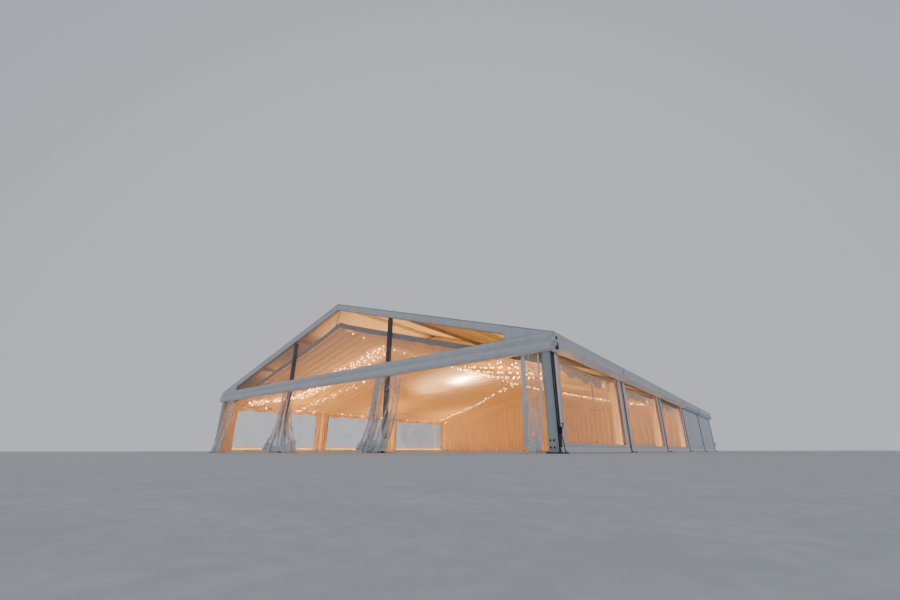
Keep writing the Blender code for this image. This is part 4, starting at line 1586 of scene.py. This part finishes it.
    def hanging_end(self) -> None:
        """Makes the pleated cloth that closes the lined hall, with swags across its top."""
        y = self.layout.lining_end - 0.008
        x = row_of(-self.end_half, self.end_half, 900)
        share = column_of(0, 1, 15)
        top = self.layout.lining_z(x, y) - 0.02
        low = self.layout.floor_z + 0.004
        z = low + (top - low) * share
        wander = Ripples(500).at(x, z * 0.4, 2.5) * 0.25
        flute = (self.fold(x / self.end_pleat + wander) - 0.5) * (0.080 + 0.025 * (1 - share))
        cloth = Shape()
        cloth.surface(x, y - 0.060 - flute, z)
        made = cloth.piece("hanging_end", [IVORY_CLOTH], ["end_lining"], sharp=80)
        self.end_swags(y - 0.12)

    def end_swags(self, y: float) -> None:
        """Makes the swags along the top of the hanging end."""
        cusps = (-self.swag_half, *(self.swag * step for step in range(-5, 6)), self.swag_half)
        across, down = row_of(0, 1, 41), column_of(0, 1, 37)
        dip = 1 - (2 * across - 1) ** 2
        cloth = Shape()
        for left, right in zip(cusps, cusps[1:]):
            x = left + (right - left) * across
            top = self.layout.lining_z(x, y) - 0.03
            bottom = top - 0.14 - 0.60 * dip ** 0.8 * (right - left) / self.swag
            z = top + (bottom - top) * down
            bulge = dip * (0.070 * self.fold(down * 5) * (0.3 + down) + 0.09 * down)
            cloth.surface(x, y - bulge, z)
        made = cloth.piece("hanging_end_swags", [IVORY_CLOTH], ["end_lining"], sharp=70)

    def build(self) -> None:
        """Makes the whole lining."""
        self.front_border()
        for number in range(1, self.bays + 1):
            self.ceiling(number)
            for side in Side:
                self.pelmet(number, side)
        for number in range(1, self.bays + 2):
            for side in Side:
                self.drape(number, side)
        self.hanging_end()


@dataclass(frozen=True)
class CurtainShape:
    """One drawn-back curtain: its edges at rising heights, as (z, left x, right x, forward)."""

    name: str
    stations: tuple[tuple[float, float, float, float], ...]
    folds: int
    depth: float
    cut_width: float
    white_left: float = 0.05
    white_right: float = 0.0
    shift: float = 0.26
    drift: float = 1.0


@dataclass
class FrontCurtains:
    """The clear curtains under the front gable, bunched at the corners and the posts."""

    layout: Layout
    head_z: float = 2.24
    foot_z: float = 0.012
    hem: float = 0.27
    head_y: float = -12.525
    rail_z: float = 1.99
    rail_ys: Pair = (-12.553, -12.497)
    shapes: tuple[CurtainShape, ...] = field(default_factory=lambda: (
        CurtainShape("left_corner",
                     ((0.0, -7.28, -6.40, 0.24), (0.6, -7.12, -6.42, 0.15), (1.3, -7.00, -6.40, 0.06),
                      (2.3, -6.93, -6.36, 0.0)), 4, 0.060, 1.9),
        CurtainShape("left_post",
                     ((0.0, -3.34, -1.40, 0.14), (0.45, -2.96, -1.66, 0.12), (0.9, -2.82, -1.90, 0.09),
                      (1.3, -2.79, -2.04, 0.05), (2.3, -2.76, -2.08, 0.0)), 5, 0.075, 2.6),
        CurtainShape("right_post",
                     ((0.0, 1.62, 2.72, 0.11), (0.4, 1.92, 2.94, 0.10), (0.95, 2.10, 3.08, 0.06),
                      (1.5, 2.16, 3.12, 0.03), (2.3, 2.18, 3.14, 0.0)), 5, 0.075, 2.6),
        CurtainShape("right_corner",
                     ((0.0, 6.88, 7.10, 0.08), (0.10, 6.78, 7.20, 0.08), (0.6, 6.79, 7.22, 0.06),
                      (2.3, 6.81, 7.25, 0.0)), 2, 0.022, 0.56, 0.24, 0.12, 0.06, 0.15),
    ))

    def curtain(self, shape: CurtainShape, seed: int) -> None:
        """Makes one curtain: uneven folds that open downwards, white edge strips and a white hem."""
        u = row_of(0, 1, shape.folds * 34 + 1)
        z = np.array([*spread(self.foot_z, self.hem, 15), *spread(self.hem, self.head_z, 61)[1:]])[:, None]
        left, right, forward = (through(shape.stations, z, column) for column in (1, 2, 3))
        broad, fine = Ripples(seed), Ripples(seed + 50, 12)
        loose = np.clip((2.1 - z) / 1.2, 0, 1)
        turn = TAU * (shape.folds * u + 0.40 * broad.at(u * 2.2, z * 0.5, 1.2) + 0.22 * broad.at(z, u, 1.6))
        swing = shape.depth * (0.35 + 0.65 * loose) * (0.75 + 0.45 * broad.at(u * 3.3, z * 0.5, 1.3))
        pitch = (right - left) / shape.folds
        x = left + (right - left) * u + shape.shift * pitch * np.sin(2 * turn)
        folded = swing * (np.sin(turn) + 0.35 * np.sin(2.6 * turn + 3 * broad.along(z, 1.5)))
        creased = 0.010 * fine.at(x * 2.0 + z, z - x, 0.45) + 0.006 * fine.at(x * 3 - z, z * 2 + x, 0.5)
        bag = 0.012 * np.sin(TAU * z / 0.085 + 2 * broad.along(u * 2, 1.0)) * (z < self.hem)
        rise = np.interp(z, (0.0, self.hem, 0.95), (0.0, 0.10, 0.0)) * shape.drift * broad.along(u * 2.6, 0.9)
        y = self.head_y - forward - folded - creased * (0.3 + loose) - bag
        y = np.where(z > self.rail_z, np.clip(y, *self.rail_ys), y)
        foot = 0.022 * (1 + fine.along(u * 4, 1.1)) * np.clip(1 - z / self.hem, 0, 1)
        middle = (u[:, 1:] + u[:, :-1]) / 2
        white = (middle < shape.white_left) | (middle > 1 - shape.white_right) | (z[:-1] < self.hem - 0.001)
        cloth = Shape()
        cloth.surface(x, y, z + foot + rise, white.astype(int))
        made = cloth.piece(f"front_curtain_{shape.name}", [CLEAR_CURTAIN, WHITE_HEM],
                           [f"curtain_{shape.name}"], sharp=80)

    def build(self) -> None:
        """Makes the four curtains."""
        for seed, shape in enumerate(self.shapes, start=600):
            self.curtain(shape, seed)


@dataclass(frozen=True)
class LightRun:
    """One string of small bulbs along the lining, through (x, y) points, in some strands."""

    name: str
    points: tuple[Pair, ...]
    strands: int = 1
    width: float = 0.0
    spacing: float = 0.46


@dataclass
class FairyLights:
    """Strings of warm bulbs that are clipped to the lining."""

    layout: Layout
    bulb: float = 0.0105
    wire: float = 0.0016
    below: float = 0.110
    pelmet_step: float = 0.36
    pelmet_xz: Pair = (7.20, 1.93)
    end_xs: Pair = (1.4, 4.3)
    runs: tuple[LightRun, ...] = (
        LightRun("ridge", ((0.10, -11.9), (0.60, -10.6), (0.80, -9.3), (0.45, -7.2), (0.05, -4.5),
                           (0.0, 2.40))),
        LightRun("left_front", ((-0.1, -10.42), (-2.95, -10.4), (-5.52, -10.4), (-6.2, -11.2),
                                (-6.7, -11.75)), 4, 0.09, 0.22),
        LightRun("left_second", ((-0.1, -10.02), (-1.96, -9.97), (-3.62, -9.9), (-5.4, -10.1)), 2, 0.09,
                 0.26),
        LightRun("left_third", ((-0.3, -8.7), (-3.8, -8.95), (-5.3, -9.1), (-7.05, -9.2)), 2, 0.22),
        LightRun("right_front", ((2.41, -8.38), (3.29, -8.9), (4.3, -9.6), (5.36, -10.34), (5.93, -10.98)),
                 2, 0.14),
        LightRun("right_second", ((0.2, -5.94), (1.21, -6.55), (2.76, -7.42), (3.73, -8.02), (4.7, -8.8),
                                  (5.9, -9.6)), 2, 0.14),
        LightRun("right_third", ((0.3, -4.2), (1.37, -4.84), (2.5, -5.5), (3.54, -6.76), (5.2, -8.1)),
                 2, 0.16),
        LightRun("right_fourth", ((4.6, -10.4), (5.52, -11.17), (6.2, -11.5))),
        LightRun("left_back", ((-0.1, -0.40), (-0.9, -0.12), (-2.3, 0.12), (-3.13, 0.6), (-6.56, 1.1)),
                 3, 0.11, 0.50),
        LightRun("right_back", ((0.2, 0.4), (3.2, 0.9), (5.49, 0.82), (6.21, -0.07), (6.92, -1.01)), 2, 0.12),
    )

    def curve(self, run: LightRun, strand: int) -> list[Vector]:
        """Points every spacing along one strand, just under the lining."""
        keys = np.array(run.points)
        lengths = np.concatenate([[0.0], np.cumsum(np.hypot(*np.diff(keys, axis=0).T))])
        count = max(2, int(lengths[-1] / run.spacing))
        draw = random.Random(f"{run.name} {strand}")
        uneven = np.array([draw.uniform(-0.4, 0.4) for _ in range(count)])
        along = spread(0, lengths[-1], count) + uneven * run.spacing
        x = np.interp(along, lengths, keys[:, 0])
        y = np.interp(along, lengths, keys[:, 1])
        shift = (strand - (run.strands - 1) / 2) * run.width
        jitter = np.array([draw.uniform(-1, 1) for _ in range(count)])
        wander = Ripples(700 + strand, 4).along(along, 1.3)
        across = shift + (0.07 * wander + 0.09 * jitter) * (1 if run.width else 0.5)
        heading = np.gradient(np.stack([x, y]), axis=1)
        heading = heading / np.maximum(np.hypot(*heading), 1e-6)
        x, y = x - across * heading[1], y + across * heading[0]
        z = self.layout.lining_z(x, y) - self.below - 0.015 * np.abs(jitter[::-1])
        return [Vector(point) for point in zip(x, y, z)]

    def pelmet_run(self, side: Side) -> list[Vector]:
        """Points along one side's pelmet, dipping between the cusps."""
        draw = random.Random(side.value)
        y = np.array([step * self.pelmet_step - 12.2 + draw.uniform(-0.14, 0.14) for step in range(41)])
        dip = np.abs(np.sin(math.pi * (y + 12.36) / 0.944))
        x, z = self.pelmet_xz
        return [Vector(point) for point in zip(side.value * (x - 0.01 * dip), y, z - 0.04 * dip)]

    def string(self, name: str, lines: list[list[Vector]]) -> None:
        """Makes one string's wire and bulbs as a single piece."""
        shape = Shape()
        for line in lines:
            shape.tube(line[::2] + line[-1:], self.wire, 4, 1)
            for point in line:
                drop = [point + Vector((0, 0, -step * self.bulb)) for step in (0.0, 0.6, 1.7, 2.4)]
                shape.tube(drop, [self.bulb * share for share in (0.35, 0.9, 0.9, 0.25)], 6)
        shape.piece(f"light_string_{name}", [WARM_BULB, BLACK_PLASTIC])

    def build(self) -> None:
        """Makes all strings."""
        for run in self.runs:
            self.string(run.name, [self.curve(run, strand) for strand in range(run.strands)])
        for side in Side:
            self.string(f"pelmet_{side.label}", [self.pelmet_run(side)])
        y = self.layout.lining_end - 0.22
        end = [Vector((x, y, float(self.layout.lining_z(x, y)) - 0.07)) for x in spread(*self.end_xs, 16)]
        self.string("hanging_end", [end])


@dataclass
class BoardedFloor:
    """Boards on a thin deck, with a pale edge trim along the open front."""

    layout: Layout
    board: float = 0.20
    length: float = 2.5
    gap: float = 0.003
    thickness: float = 0.015
    half: float = 7.2697
    end: float = 12.555
    notch: Triple = (2.3397, 2.6603, 12.3847)

    def build(self) -> None:
        """Makes the deck, the boards and the edge trim."""
        self.deck()
        self.boards()
        self.trim()

    def deck(self) -> None:
        """Makes the deck under the boards."""
        half, end = self.half - 0.01, self.notch[2] - 0.01
        deck = Shape()
        deck.box((-half, -end, 0.0), (half, end, self.layout.floor_z - self.thickness - 0.0005))
        deck.piece("floor_deck", [FLOOR_BOARDS], ["floor"])

    def boards(self) -> None:
        """Makes the boards, with the joints of every other row halfway along."""
        top = self.layout.floor_z
        end, seam = self.notch[2], self.gap / 2
        count = int(2 * self.half / self.board)
        width = 2 * self.half / count
        rows = int(2 * end / self.length)
        row_length = 2 * end / rows
        boards = Shape()
        for column in range(count):
            x = -self.half + column * width
            offset = 0.5 * row_length * (column % 2)
            ends = [-end, *(-end + offset + row_length * n for n in range(1 - column % 2, rows)), end]
            for low, high in zip(ends, ends[1:]):
                boards.box((x + seam, low + seam, top - self.thickness), (x + width - seam, high - seam, top))
        boards.piece("floor_boards", [FLOOR_BOARDS], ["floor"])

    def trim(self) -> None:
        """Makes the trim along both ends, notched around the posts' plates, and along both sides."""
        top = self.layout.floor_z
        spans = ((-self.half, -self.notch[1]), (-self.notch[0], self.notch[0]), (self.notch[1], self.half))
        edge = Shape()
        for facing in (-1, 1):
            for low_x, high_x in spans:
                edge.box((low_x, facing * self.notch[2], 0.0), (high_x, facing * self.end, top))
        for side in Side:
            edge.box((side.value * (self.half - 0.012), -self.notch[2], 0.0),
                     (side.value * self.half, self.notch[2], top - self.thickness - 0.001))
        edge.piece("floor_edge", [PALE_EDGE], ["floor"], bevel=0.004)


def main() -> None:
    """Builds the studio and every sub-assembly in order."""
    logging.basicConfig(level=logging.INFO, format="%(message)s")
    layout = Layout.from_frame()
    Studio().build()
    RoofSkin(layout).build()
    Gables(layout).build()
    SideWalls(layout).build()
    PortalFrames(layout).build()
    HallLining(layout).build()
    FrontCurtains(layout).build()
    FairyLights(layout).build()
    BoardedFloor(layout).build()


if __name__ == "__main__":
    main()
